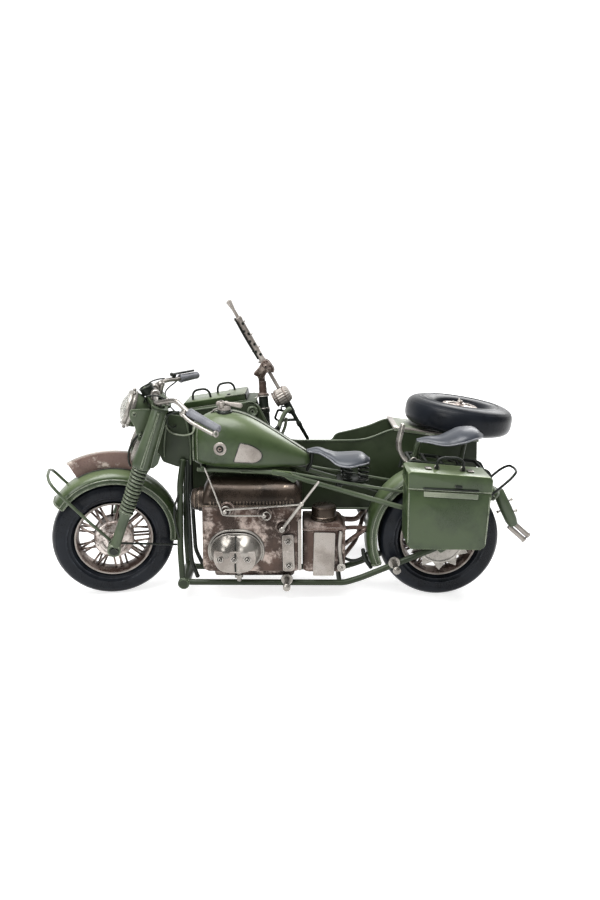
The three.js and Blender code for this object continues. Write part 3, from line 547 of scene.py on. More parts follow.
worn("hub", "worn_silver", (0.075, 0.05, 0.04), (0.34, 0.28, 0.25), (0.66, 0.6, 0.56),
    (0.004, 0.003, 0.002), roughness=(0.26, 0.46), metal=(0.5, 0.85), rub=0.62, dirt=1.0, edge=0.9,
    reach=8.0, patches=0.8, bump=0.3, speckle=0.3)
worn("leather_brown", "rusty_metal", (0.075, 0.042, 0.033), (0.15, 0.095, 0.078),
    (0.55, 0.48, 0.42), (0.01, 0.006, 0.005), roughness=(0.4, 0.58), metal=(0.0, 0.3), rub=0.75,
    dirt=0.8, edge=0.9, bump=0.4, speckle=0.5, patches=0.4)
worn("tyre", "tyre_rubber", (0.005, 0.006, 0.008), (0.009, 0.011, 0.015), (0.05, 0.056, 0.066),
    (0.003, 0.003, 0.004), roughness=(0.24, 0.38), metal=(0.0, 0.0), rub=0.4, dirt=0.4, edge=1.2,
    bump=0.08, glint=0.14)
worn("saddle", "saddle_paint", (0.03, 0.034, 0.043), (0.052, 0.058, 0.07), (0.16, 0.17, 0.19),
    (0.004, 0.005, 0.007), roughness=(0.28, 0.42), metal=(0.0, 0.1), rub=0.45, dirt=0.7, edge=1.0,
    bump=0.18, coat=0.1, glint=0.35)
worn("grip", "saddle_paint", (0.09, 0.094, 0.108), (0.16, 0.165, 0.18), (0.36, 0.37, 0.39),
    (0.01, 0.011, 0.014), roughness=(0.34, 0.5), metal=(0.0, 0.2), rub=0.5, dirt=0.8, bump=0.3)
print("finishes in all:", len(FINISH))

# %% [markdown]
# The lamp's glass is the one clear part. Real lamp glass is pressed with flutes that spread
# the light; a wave that only bends the shading is enough at this size.
# %% The lamp glass
def lamp_glass():
    """Pressed glass: a clear shader whose normal is fluted by a wave across it."""
    material = bpy.data.materials.new("lamp_glass")
    material.use_nodes = True
    tree = material.node_tree
    shader = tree.nodes["Principled BSDF"]
    shader.inputs["Base Color"].default_value = (0.93, 0.93, 0.88, 1.0)
    shader.inputs["Roughness"].default_value = 0.12
    shader.inputs["Transmission Weight"].default_value = 0.85
    shader.inputs["IOR"].default_value = 1.45
    place = add_node(tree, "ShaderNodeTexCoord").outputs["Object"]
    flutes = add_node(tree, "ShaderNodeTexWave", {"Vector": place, "Scale": 160.0,
        "Distortion": 0.6}, bands_direction="Y")
    uneven = add_node(tree, "ShaderNodeBump", {"Height": flutes.outputs["Fac"], "Strength": 0.5,
        "Distance": 0.0004})
    tree.links.new(uneven.outputs["Normal"], shader.inputs["Normal"])
    FINISH["lamp_glass"] = (material, "lamp_glass")


lamp_glass()

# %% [markdown]
# ## From shape to piece
# A shape becomes an object in four steps: its points are carried into metres, doubled
# points are merged and the faces turned outward, sharp edges may be eased, and the piece
# is told which finish it wears and which body it rides on, while the CAD nodes it stands for are
# hidden.
# %% Make a piece
PIECES, REPORTED = [], [0]
CREASE = math.radians(38)
SHARP = math.radians(35)


def make(name, shape, finish, nodes="", body="chassis", ease=0.0):
    """A finished piece that stands for the CAD nodes named. Ease is the width in mm of the
    chamfer cut on its sharp edges, and edges that bend more than CREASE stay crisp."""
    place, replaces = SEAT_OF.get(body, HOME), nodes.split()
    mesh = bpy.data.meshes.new(name)
    points = shape.points @ place[:3, :3].T + place[:3, 3]
    mesh.from_pydata(points.tolist(), [], [f for faces in shape.faces for f in faces.tolist()])
    work = bmesh.new()
    work.from_mesh(mesh)
    bmesh.ops.remove_doubles(work, verts=work.verts, dist=2e-6)
    bmesh.ops.dissolve_degenerate(work, edges=work.edges, dist=1e-6)
    bmesh.ops.recalc_face_normals(work, faces=work.faces)
    if ease:
        sharp = [e for e in work.edges
            if len(e.link_faces) == 2 and e.calc_face_angle(0.0) > SHARP]
        bmesh.ops.bevel(work, geom=sharp, offset=ease * MM, segments=2, profile=0.6,
            affect="EDGES", clamp_overlap=True)
    work.to_mesh(mesh)
    work.free()
    mesh.shade_smooth()
    mesh.set_sharp_from_angle(angle=CREASE)
    piece = bpy.data.objects.new(name, mesh)
    bpy.context.scene.collection.objects.link(piece)
    material, slot = FINISH[finish]
    mesh.materials.append(material)
    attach(piece, body)
    if replaces:
        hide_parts(*replaces)
    PIECES.append(piece)


def report(title):
    """Prints how many pieces a step made since the last report, and their triangles."""
    made = PIECES[REPORTED[0]:]
    REPORTED[0] = len(PIECES)
    triangles = sum(len(f.vertices) - 2 for p in made for f in p.data.polygons)
    print(f"{title}: {len(made)} pieces, {triangles} triangles")

# %% [markdown]
# ## Wheels
# Each wheel is a painted tyre on a spun tin rim, with flat strip spokes soldered to a brake
# drum. All of it is turned work, so a profile of radius and width is turned about the axle.
# The tyre's profile is a squared ring: powers of the cosine and sine below one flatten the
# tread and the sidewalls. Low ridges are added where a mould would leave them.
# %% Wheel shapes
RIM_RADIUS = 29.2


def tyre_shape(outer, half, inner=RIM_RADIUS):
    """Turns a closed profile: radius = middle + reach * cos^0.85 and width = half * sin^0.7,
    both keeping their sign, plus bell-shaped ridges on the sidewalls."""
    c, s = circle(1, 120).T
    middle, reach = (outer + inner) / 2, (outer - inner) / 2
    radius = middle + reach * signed(c, 0.85)
    width = (half - 0.4) * signed(s, 0.7)
    for place, height, spread in ((31.9, 0.6, 0.5), (34.6, 0.45, 0.6), (42.8, 0.3, 0.25)):
        width = width + np.sign(s) * height * np.exp(-((radius - place) / spread) ** 2)
    return lathe(np.stack([radius, width], -1), segments=112, loop=True)


def rim_shape():
    """A channel rim: a shallow trough between two rolled edges."""
    half = [(29.4, 0), (29.4, 6.4), (28.9, 7.4), (28, 7.6), (27.5, 6.6), (27.2, 5.2), (26.4, 3.4),
        (26.1, 0)]
    profile = np.array(half + [(r, -y) for r, y in half[-2:0:-1]])
    return lathe(profile, segments=112, loop=True)


def spoke_shape(count, side, tilt, first):
    """Flat strips from the drum to the rim. A strip runs from (14, angle) to (27.4, angle +
    tilt), and its corners lie half a width along and across it."""
    angle = np.radians(first + np.arange(count) * 360 / count)
    lean = np.radians(tilt * np.where(np.arange(count) % 2, 1, -1))
    spot = lambda r, a, y: np.stack([r * np.cos(a), np.full(count, y), r * np.sin(a)], -1)
    inner, outer = spot(14, angle, side * 5.6), spot(27.4, angle + lean, side * 1.8)
    along = unit(outer - inner)
    across = unit(np.cross(along, [0, 1, 0]))
    thick = np.cross(across, along)
    corners = [end + across * 0.85 * a + thick * 0.32 * b for end in (inner, outer) for a,
        b in ((-1, -1), (1, -1), (1, 1), (-1, 1))]
    points = np.stack(corners, 1).reshape(-1, 3)
    box = np.array([[0, 1, 2, 3], [4, 7, 6, 5], [0, 4, 5, 1], [1, 5, 6, 2], [2, 6, 7, 3],
        [3, 7, 4, 0]])
    return Shape(points, [(box[None] + 8 * np.arange(count)[:, None, None]).reshape(-1, 4)])


def drum_shape(reach=10.6):
    """A brake drum: a stepped profile from the axle's end to the drum's edge and back."""
    half = [(0, reach), (3, reach), (4.4, reach - 0.9), (5, 8.9), (6.4, 8.6), (11, 8.3),
        (11.8, 8.9), (13.6, 8.9), (14.5, 8.2), (15.1, 7.2), (15.1, 6.2), (14.2, 5.8)]
    return lathe(half + [(r, -y) for r, y in half[::-1]], segments=72)


def brake_arc(side):
    """A raised rib round part of the drum's face, with a screw at each sixth of a turn."""
    angle = np.radians(np.linspace(185, 345, 30))
    rib = np.stack([9.2 * np.cos(angle), np.full(30, side * 8.7), 9.2 * np.sin(angle)], -1)
    turns = np.radians(np.arange(6) * 60 + 15)
    screws = [bolt((12.6 * math.cos(a), side * 8.9, 12.6 * math.sin(a)), (0, side, 0), 0.8)
        for a in turns]
    return wire(rib, 0.75, 60, 8) + total(screws)


def dress_wheel(name, outer, half, side=-1, inner=RIM_RADIUS):
    """Tyre, rim, pale rolled edges, spokes and drum of one wheel."""
    edges = both_sides(bead_ring(28.9, 0.62, (0, 7.3, 0), segments=112))
    strips = spoke_shape(18, side, 6, 4) + spoke_shape(18, -side, 6, 14)
    for part, shape, finish, nodes in (("tyre_skin", tyre_shape(outer, half, inner), "tyre",
            f"{name}_tyre"), ("rim", rim_shape(), "rust", f"{name}_wheel"),
            ("rim_edges", edges, "cream", ""), ("spokes", strips, "rust", ""),
            ("drum", drum_shape(), "hub", ""), ("brake", brake_arc(side), "cream", "")):
        make(f"{name}_{part}", shape, finish, nodes, f"{name}_wheel_set")


# %% [markdown]
# The four wheels are alike, and the frame gives their sizes and seats. The spare hangs on
# its stud with its outer side up, so its tyre is a little fatter where nothing presses it.
# %% All four wheels
def tyre_size(name):
    """Outer radius and half width of a tyre, in mm: the frame's box of a wheel that stands
    upright gives both."""
    low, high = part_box(name)
    return (high.z - low.z) / 2 / MM, (high.y - low.y) / 2 / MM


WHEEL_RADIUS, TYRE_HALF = tyre_size("rear_tyre")
dress_wheel("rear", WHEEL_RADIUS, TYRE_HALF)
dress_wheel("sidecar", WHEEL_RADIUS, TYRE_HALF, side=1)
dress_wheel("front", WHEEL_RADIUS, TYRE_HALF)
dress_wheel("spare", WHEEL_RADIUS - 1.5, TYRE_HALF + 0.8, side=1, inner=21)
report("wheels")


# %% [markdown]
# The rear wheel drives through a star-shaped disc. It is cut from flat sheet, so it is one
# outline whose radius jumps between tooth tips and roots.
# %% Sprocket and axles
def sprocket_shape():
    """A star disc: the outline's radius alternates between the tooth tips and the roots."""
    angle = np.radians(np.arange(22) * 360 / 22 - 90)
    radius = np.where(np.arange(22) % 2, 17.6, 23.6)
    outline = np.stack([radius * np.cos(angle), radius * np.sin(angle)], -1)
    plate = slab(outline, -12.7, -11.4, soft=0.25)
    return plate + lathe([(0, -13.4), (7, -13.4), (8, -12.6), (15.5, -12.6), (16.5, -13.1),
        (17.3, -12.8), (17.3, -11.6), (0, -11.6)], segments=60)


make("rear_sprocket_star", sprocket_shape(), "silver", "rear_sprocket", body="rear_wheel_set")
rear_axle = rod((0, -18.9, 46), (0, 18.3, 46), 2.1)
rear_axle += total(nut((0, s * 17.6, 46), (0, s, 0), 3.4, 2.4) for s in (-1, 1))
make("rear_axle_bar", rear_axle, "silver", "rear_axle")
report("drive")

# %% [markdown]
# ## Mudguards
# A mudguard is sheet tin: a crowned section carried round an arc. The section is drawn as a
# closed loop, out along the outside and back along the inside, so the sheet has a real
# thickness. Its cut edges are stiffened with soldered wire, which gives the guard the pale
# line along its lower edge.
# %% Mudguard shapes
DEPTH = 8.0
ACROSS = (0, 1, 0)


def guard_section(half, depth, wall, count=25):
    """Points (outward, across) of a crowned sheet: outward falls from the middle as depth
    times |across / half| to the power 2.6, and the inside is one wall lower."""
    u = np.linspace(-1, 1, count)
    across = half * np.sin(u * np.pi / 2)
    out = -depth * np.abs(u) ** 2.6
    inside = np.stack([out - wall * (1 - 0.3 * np.abs(u)), across * (1 - wall / half)], -1)
    return np.vstack([np.stack([out, across], -1), inside[::-1]])


def arc_path(centre, radius, start, end, steps):
    """Points of an arc in the XZ plane; the angle is counted from +X upward, in degrees."""
    angle = np.radians(np.linspace(start, end, steps))
    return np.stack([centre[0] + radius * np.cos(angle), np.full(steps, centre[1]),
        centre[2] + radius * np.sin(angle)], -1)


def fender(centre, radius, start, end, half, steps):
    """The tin, the wire along both lower edges, and a rib pressed just above each edge."""
    tin = sweep(arc_path(centre, radius, start, end, steps), guard_section(half, DEPTH, 0.9),
        flat_ends=True, up=ACROSS)
    edges = []
    for s in (-1, 1):
        edge = np.array(centre) + [0, s * (half - 0.3), 0]
        rib = np.array(centre) + [0, s * (half - 0.15), 0]
        edges += [wire(arc_path(edge, radius - DEPTH, start, end, 30), 0.75, steps, 8, up=ACROSS),
            sweep(arc_path(rib, radius - DEPTH * 0.62, start + 1, end - 1, steps), circle(0.45, 6),
            up=ACROSS)]
    return tin, total(edges)


def fender_lip(centre, radius, angle, half, bead):
    """A wire round the end of a guard: the section's outer line at one angle."""
    section = guard_section(half, DEPTH, 0)[:25]
    a = math.radians(angle)
    reach = radius + section[:, 0]
    points = np.stack([centre[0] + reach * math.cos(a), centre[1] + section[:, 1],
        centre[2] + reach * math.sin(a)], -1)
    return wire(points, bead, 60, 8)


def mudguard(name, nodes, centre, radius, ends, half, body="chassis", steps=64, beads=(0.9, 0.9),
        more=()):
    """A whole guard: its tin with anything more that is soldered to it, the wires and ribs
    along it, and a lip of wire round both ends."""
    tin, edges = fender(centre, radius, *ends, half, steps)
    lips = [fender_lip(centre, radius, end, half, bead) for end, bead in zip(ends, beads)]
    make(f"{name}_sheet", total([tin, *more]), "green", nodes, body=body)
    make(f"{name}_edges", total([edges, *lips]), "grey_green", body=body)


# %% [markdown]
# ## The front fork
# Everything from here to the handlebar turns with the steering. In the steering seat the
# steering axis is Z, straight ahead is -X, and the wheel's axle is at a fixed depth below.
# Each leg is a pressed shroud, a coil spring and a slider. The spring is a real helix of
# wire, because its gaps are what the eye reads as a spring.
# %% Fork legs
AXLE_DEPTH = (SEAT_OF["front_wheel_set"][:3, 3] - STEER[:3, 3]) @ STEER[:3, 2] / MM ** 2
LEG_AHEAD, LEG_HALF = 2, 27.0


def helix(place, radius, end_radius, top, bottom, turns, wire_radius):
    """A coil spring: the angle grows evenly while the radius and the height change evenly,
    and the last half turn at each end is squeezed flat."""
    share = np.linspace(0, 1, int(turns * 22))
    angle = 2 * np.pi * turns * share
    reach = radius + (end_radius - radius) * share
    ease = np.clip(share * turns - 0.4, 0, turns - 0.8) / (turns - 0.8)
    path = np.stack([place[0] + reach * np.cos(angle), place[1] + reach * np.sin(angle),
        top + (bottom - top) * ease], -1)
    return sweep(path, circle(wire_radius, 8), up=(0, 0, 1))


def fork_leg(name, side):
    """Shroud with its rear flange, spring over a dark tube, slider, and the axle's eye."""
    x, y = -LEG_AHEAD, side * LEG_HALF
    shroud = lathe([(0, 2.6), (3.6, 2.5), (4.7, 1.9), (5.2, 0.6), (5.4, -10), (5.9, -24),
        (6.8, -39), (7, -41.6), (6.5, -42.8), (5, -43.2), (0, -43.2)], (x, y, 0), (0, 0, 1), 40)
    flange = sheet([(x + 2, -1), (x + 6.2, -1), (x + 7, -12), (x + 7.8, -29), (x + 11, -30.5),
        (x + 11, -37), (x + 8.6, -41), (x + 2, -42)], 1.2, y - 1.7, y + 1.7, 0.5)
    seam = slab([(x - 1, 0.5), (x + 0.2, 0.5), (x + 0.9, -41.5), (x - 1, -41.5)],
        y + side * 5.9 - 1.1, y + side * 5.9 + 0.6, 0.4)
    make(f"{name}_shroud", shroud + flange + seam, "grey_green", name, body="fork")
    spring = helix((x, y), 5, 4.5, -43.6, -79.2, 13.5, 1.08)
    make(f"{name}_spring", spring, "grey_green", body="fork")
    make(f"{name}_inner_tube", rod((x, y, -42), (x, y, -81), 3.3), "black_wire", body="fork")
    slider = lathe([(0, -78.6), (4.4, -78.6), (4.9, -79.6), (4.6, -81), (3.9, -82.4), (3.6, -88),
        (3.6, AXLE_DEPTH + 6), (3.9, AXLE_DEPTH + 3), (0, AXLE_DEPTH + 1)], (x, y, 0), (0, 0, 1),
        32)
    eye = lathe([(2.3, -3.2), (4.4, -3.2), (4.9, -2.6), (4.9, 2.6), (4.4, 3.2), (2.3, 3.2)],
        (x, y, AXLE_DEPTH), (0, 1, 0), 32, loop=True)
    make(f"{name}_slider", slider + eye, "grey_green", body="fork")
    make(f"{name}_axle_nut", nut((x, y + side * 3.2, AXLE_DEPTH), (0, side, 0), 2.9, 1.8),
        "black_wire", body="fork")


NAMED_SIDES = (("left", -1), ("right", 1))
for name, side in NAMED_SIDES:
    fork_leg(f"fork_leg_{name}", side)
axle = rod((-LEG_AHEAD, -31.2, AXLE_DEPTH), (-LEG_AHEAD, 31.2, AXLE_DEPTH), 2)
collars = total(rod((-LEG_AHEAD, s * 12.2, AXLE_DEPTH), (-LEG_AHEAD, s * 21, AXLE_DEPTH), 3.6, 3)
    for s in (-1, 1))
make("front_axle_bar", axle + collars, "silver", "front_axle", body="fork")
report("fork")


# %% [markdown]
# Two plates tie the legs together, one above and one below the steering tube. Clamps,
# a gauge and a few cables sit on the upper one; they are small, so plain turned parts and
# wires do.
# %% Yokes and their clutter
def yoke_plate(low, thick, pull):
    """A plate in the XY plane that reaches from leg to leg, narrower between them."""
    corners = [(8 - pull, -8), (8 - pull, 8), (3.5, 19), (5, 29), (-2, 33.5), (-8.5, 29),
        (-7.5, 19), (-10 + pull, 8), (-10 + pull, -8), (-7.5, -19), (-8.5, -29), (-2, -33.5),
        (5, -29), (3.5, -19)]
    return lying(sheet(corners, 4, low, low + thick, 0.5))


yokes = yoke_plate(1.4, 2.6, 0) + yoke_plate(-44.6, 3, 1) + rod((0, 0, -43), (0, 0, 4), 4.2)
yokes += nut((0, 0, 4.4), (0, 0, 1), 4.6, 2.6) + total(nut((-2, s * LEG_HALF, 4.2), (0, 0, 1), 3.2,
    2.2) for s in (-1, 1))
make("fork_yokes", yokes, "deep_green", "fork_yoke", body="fork")
clamps = total(rod((-6, s * 9 - 2.4, 8.4), (-6, s * 9 + 2.4, 8.4), 3.4)
    + rod((-6, s * 9, 3.6), (-6, s * 9, 8), 2.2) for s in (-1, 1))
clamps += rod((-1, 15, 4), (-1.6, 15.4, 12), 2.6) + rod((3, -14, 4), (3.4, -14, 9), 2)
clamps += bolt((-1.6, 15.4, 12), (0, 0, 1), 2.9)
make("bar_clamps", clamps, "silver", body="fork")
gauge = rod((-9.5, 0, 6), (-13, 0, 9.4), 5.2) + bead_ring(4.9, 0.6, (-13.2, 0, 9.6),
    (-0.7, 0, 0.7))
make("gauge_pod", gauge, "black_wire", body="fork")
cables = total(wire(path, radius, 10 * len(path)) for radius, path in ((0.6,
    [(2, -38, 11), (-4, -31, 12), (-10, -22, 9), (-12, -10, 3), (-10, -2, -10)]),
    (0.6, [(2, 36, 13), (-4, 28, 12), (-10, 19, 9), (-12, 8, 3), (-10, 3, -10)]),
    (0.55, [(9, -45, 9), (4, -34, 1), (8, -24, -8), (14, -14, -10), (17, -4, -6)]),
    (0.55, [(14, 50, 12), (6, 36, 3), (10, 20, -3), (14, 8, -4)]),
    (0.8, [(-8, -17.6, -19), (-11.6, -18, -27), (-12.6, -18, -35), (-10.6, -18, -43),
    (-8, -18, -47)])))
make("control_cables", cables, "black_wire", body="fork")
shroud_line = rounded([(-7, -21), (-3, -22), (-3, -43), (-8.4, -45), (-10.4, -39), (-9.6, -29)], 2)
make("fork_cheeks", total(slab(shroud_line, y - 0.6, y + 0.6, 0.3) for y in (-16.5, 16.5)),
    "silver", body="fork")
report("yokes")

# %% [markdown]
# ## Headlamp
# A spun bowl, a bright rim in two steps, a silvered dish, and a domed glass in front. Real
# glass over a real dish is worth the trouble: the lamp is the brightest thing on the front.
# %% Headlamp
LAMP = (0, 0, -9.5)
bowl = lathe([(0, 4.6), (3.6, 5), (7.2, 6.6), (10.4, 9.6), (12.4, 13.2), (13.2, 17.2),
    (13.4, 18.4), (12.4, 18.6), (11.4, 13.8), (9.4, 10.4), (6.6, 7.8), (0, 6.2)], LAMP, (-1, 0, 0),
    56)
knob = rod((-12, 0, 3), (-12.4, 0, 7.6), 2) + bolt((-12.4, 0, 7.6), (0, 0, 1), 2.6)
make("headlamp_bowl", bowl + knob, "grey_green", "headlamp", body="fork")
lamp_rim = lathe([(12.8, 17.4), (13.7, 17.2), (14.1, 18.2), (13.9, 19.4), (13.1, 20), (13.5, 20.9),
    (13.3, 22.4), (12.6, 23.2), (12.1, 22.8), (12.3, 21.4), (12.4, 18.6)], LAMP, (-1, 0, 0), 72,
    loop=True)
rim_screws = total(bolt((-20, 13.9 * math.cos(a), LAMP[2] + 13.9 * math.sin(a)),
    (0, math.cos(a), math.sin(a)), 1.3, 1.6) for a in np.radians([80, 110, 268]))
make("headlamp_rim", lamp_rim + rim_screws, "silver", body="fork")
dish = lathe([(0, 8.6), (5.5, 10.6), (9.5, 14.6), (12.2, 20.4), (12.4, 20), (9.8, 14), (5.7, 10),
    (0, 8)], LAMP, (-1, 0, 0), 56)
bulb = lathe([(0, 8.4), (1.6, 8.6), (1.6, 11), (2.6, 13), (2.4, 15), (0, 16.4)], LAMP, (-1, 0, 0),
    24)
make("headlamp_dish", dish + bulb, "silver", body="fork")
glass = lathe([(0, 26.6), (3.4, 26.3), (6.6, 25.5), (9.6, 24.1), (11.6, 22.6), (12.3, 21.6),
    (11.9, 21.2), (9.4, 23), (6.4, 24.3), (3.2, 25.1), (0, 25.4)], LAMP, (-1, 0, 0), 56)
make("headlamp_glass", glass, "lamp_glass", "headlamp_lens", body="fork")
ear = rounded([(-21, -6), (-6.5, -1), (-4, -12), (-5.6, -26), (-9, -27), (-14, -17), (-19.6, -12)],
    2)
ears = total(slab(ear, s * 17.6 - 0.7, s * 17.6 + 0.7) for s in (-1, 1))
ears += total(bolt((-17, s * 18.4, -8.4), (0, s, 0), 1.6) + bolt((-8.4, s * 18.4, -22), (0, s, 0),
    1.4) + rod((-5, s * 17.4, -20), (-3, s * 24, -20), 1.5) for s in (-1, 1))
make("headlamp_ears", ears, "grey_green", body="fork")
report("headlamp")


# %% [markdown]
# ## Handlebar
# The bar is one bent wire that rises from the near leg, dips behind the lamp and sweeps back
# to two grips. Grips and levers are separate pieces, because they have their own finish.
# %% Handlebar
near_bend = [(34, -66, 9.6), (24, -58, 10.6), (14, -50, 11.5), (5, -41, 14.2), (-1.5, -34, 10),
    (-5, -27, 6)]
far_bend = [(-5, 26, 6), (-1, 33, 8.6), (5, 41, 11.2), (15, 51, 13.4), (22, 58, 15.2),
    (29, 66, 17.4)]
bar = wire(near_bend + [(-6, -16, 7.8), (-6, 0, 8.4), (-6, 16, 7.8)] + far_bend, 1.75, 110, 14)
make("handlebar_tube", bar, "silver", "handlebar", body="fork")


def grip_shape(start, end, radius):
    """A tapered grip with a collar at its inner end, a rounded outer end and fine ribs."""
    start, end = np.array(start, float), np.array(end, float)
    share = np.linspace(0, 1, 80)
    size = radius * (1 - 0.14 * share) * (1 + 0.03 * np.sin(share * 2 * np.pi * 16))
    size = size + 0.5 * np.exp(-((share - 0.05) / 0.045) ** 2) + 0.35 * np.exp(-((share - 0.93)
        / 0.04) ** 2)
    size = size * np.sqrt(np.clip(1 - ((share - 0.5) / 0.5) ** 14, 0.05, 1))
    return sweep(start + share[:, None] * (end - start), circle(1, 20), size)


grips = grip_shape((14, -50, 11.5), (36, -67.4, 9.4), 3.2) + grip_shape((15, 51, 13.4),
    (31, 68, 18.2), 3.3)
make("grips", grips, "grip", body="fork")
near_lever = wire([(11.4, -50.6, 8.6), (16, -55, 6.9), (25, -62.4, 5.9), (32.4, -68.6, 5.6)], 1.35,
    44)
near_lever += rod((10.6, -49.4, 7.8), (12.6, -50.6, 11.4), 2.1, 1.8)
near_lever += bead_ring(1.7, 0.7, (33.6, -69.4, 6.6), (0.5, -0.8, 0.3), 24)
make("near_lever", near_lever, "silver", body="fork")
far_lever = wire([(7.4, 44, 16.2), (13, 51, 17.6), (20, 58, 19.6), (26, 64, 21.4)], 0.95, 40)
far_lever += rod((10, 46.6, 12.6), (10, 47, 16.8), 1.5) + rod((7, 43.4, 16), (7.8, 44.6, 16.4),
    1.6)
make("far_lever", far_lever, "black_wire", body="fork")
report("handlebar")

# %% [markdown]
# ## Front mudguard, plate and stays
# The front guard turns with the fork. A long number plate stands on its crest like a fin,
# and a hoop of wire reaches from the axle round the front of the guard. The fin is the
# same kind of sweep as the guard, with a thin upright section.
# %% Front mudguard
FRONT_GUARD = (-LEG_AHEAD - 1.2, 0, AXLE_DEPTH + 3.6)
mudguard("front_guard", "front_mudguard", FRONT_GUARD, 50.8, (12, 165), 12.8, "fork",
    beads=(0.7, 0.9))
crest = np.array([(0.6, -1.9), (12.6, -1.9), (13.4, -1.2), (13.4, 1.2), (12.6, 1.9), (0.6, 1.9)])
make("front_number_plate", sweep(arc_path(FRONT_GUARD, 50.8, 85, 138, 50), crest, flat_ends=True,
    up=(0, 1, 0)), "leather_brown", "number_plate", body="fork", ease=0.7)
plate_edge = sweep(arc_path(FRONT_GUARD, 50.8 + 13.1, 84.6, 138.4, 50), circle(1.15, 10),
    up=(0, 1, 0))
make("number_plate_edge", plate_edge, "cream", body="fork")
hoop = [(-4, -17.5, AXLE_DEPTH + 1.6), (-28, -17.5, -95), (-50, -17, -82), (-58.6, -14.4, -76.4),
    (-61.4, -8, -74.2), (-61.8, 0, -73.8), (-61.4, 8, -74.2), (-58.6, 14.4, -76.4), (-50, 17, -82),
    (-28, 17.5, -95), (-4, 17.5, AXLE_DEPTH + 1.6)]
stay_eyes = total(lathe([(2.2, -1.1), (4.4, -1.1), (4.4, 1.1), (2.2, 1.1)],
    (-LEG_AHEAD, s * 17.5, AXLE_DEPTH), (0, 1, 0), 24, loop=True) for s in (-1, 1))
rear_rods = total(wire([(0, s * 17.5, AXLE_DEPTH + 1.6), (44, s * 15, -99)], 0.85, 20)
    for s in (-1, 1))
make("front_stay_hoop", wire(hoop, 1.15, 120) + stay_eyes, "grey_green", "front_stay", body="fork")
make("front_stay_rods", rear_rods, "black_wire", body="fork")
report("front guard")

# %% [markdown]
# ## Fuel tank
# The tank is a teardrop. Seen from the side its crest rises fast and falls slowly, and seen
# from above it is widest a third of the way back. So the body is a stack of rings along X:
# three smooth curves give the top, the bottom and the half width, and a squared oval
# joins them. The same three curves say where the surface is at any point, so badges and
# stripes can be laid on it without any fitting.
# %% Tank curves
TANK_FRONT, TANK_REAR = -187.5, -98.5
FLANK, CROWN, BELLY = 0.78, 0.72, 0.6
TANK_TOP = (133, 139.5, 143.2, 144.4, 143.8, 141.6, 137.8, 133, 127.8, 122.4, 117.2, 111.6)
TANK_LOW = (106, 104.2, 103, 102.4, 102, 101.8, 101.6, 101.5, 101.4, 101.4, 101.6, 102.4)
TANK_HALF = (12.5, 17.2, 20, 21.6, 22.4, 22.5, 21.6, 19.4, 16.4, 13, 9.6, 6.4)


def tank_curves(x):
    """Top, bottom, half width and waist of the tank at x. The waist is at 36% of the height."""
    share = np.clip((np.asarray(x, float) - TANK_FRONT) / (TANK_REAR - TANK_FRONT), 0, 1)
    top, low, half = (interp(curve, share) for curve in (TANK_TOP, TANK_LOW, TANK_HALF))
    return top, low, half, low + 0.36 * (top - low)


def tank_rings(count=90, sides=64):
    """Squared ovals: the width goes with the cosine to the power FLANK, and the height with
    the sine to the power CROWN above the waist and BELLY below it. Powers below one flatten
    the roof and the sides and leave a soft shoulder."""
    share = 0.5 - 0.5 * np.cos(np.linspace(0, np.pi, count))
    x = TANK_FRONT + share * (TANK_REAR - TANK_FRONT)
    top, low, half, waist = tank_curves(x)
    c, s = circle(1, sides).T
    round_off = np.sqrt(np.clip(1 - (2 * share - 1) ** 30, 0, 1))
    lift = np.where(s > 0, np.abs(s) ** CROWN, -np.abs(s) ** BELLY)
    rise = np.where(s > 0, (top - waist)[:, None], (waist - low)[:, None]) * lift
    y = half[:, None] * signed(c, FLANK) * round_off[:, None]
    z = waist[:, None] + rise * round_off[:, None]
    return np.stack([np.broadcast_to(x[:, None], y.shape), y, z], -1)


def tank_side(x, z):
    """Half width of the tank's skin at x and z, from the same oval: the sine follows from
    the height and gives the cosine."""
    top, low, half, waist = tank_curves(x)
    above = np.clip((z - waist) / (top - waist), 0, 1) ** (1 / CROWN)
    below = np.clip((waist - z) / (waist - low), 0, 1) ** (1 / BELLY)
    sine = np.where(z > waist, above, below)
    return half * np.sqrt(np.clip(1 - sine ** 2, 0, 1)) ** FLANK


def tank_roof(x, y):
    """Height of the tank's skin at x and y."""
    top, low, half, waist = tank_curves(x)
    cosine = np.clip(np.abs(y) / half, 0, 1) ** (1 / FLANK)
    return waist + (top - waist) * np.sqrt(np.clip(1 - cosine ** 2, 0, 1)) ** CROWN


def badge(outline, side, lift):
    """A badge on the tank's flank: rings shrink the outline towards its middle, each point
    takes its y from the skin plus the lift, and the last ring sinks into the tank."""
    outline = np.asarray(outline, float)
    middle = outline.mean(0)
    scales = np.array([0.05, 0.3, 0.55, 0.78, 0.93, 1, 1])
    raise_by = np.array([1, 1, 1, 1, 0.9, 0.45, -1.2]) * lift
    flat = middle + scales[:, None, None] * (outline - middle)
    skin_y = tank_side(flat[..., 0], flat[..., 1])
    y = side * (skin_y + raise_by[:, None])
    return skin(np.stack([flat[..., 0], y, flat[..., 1]], -1))

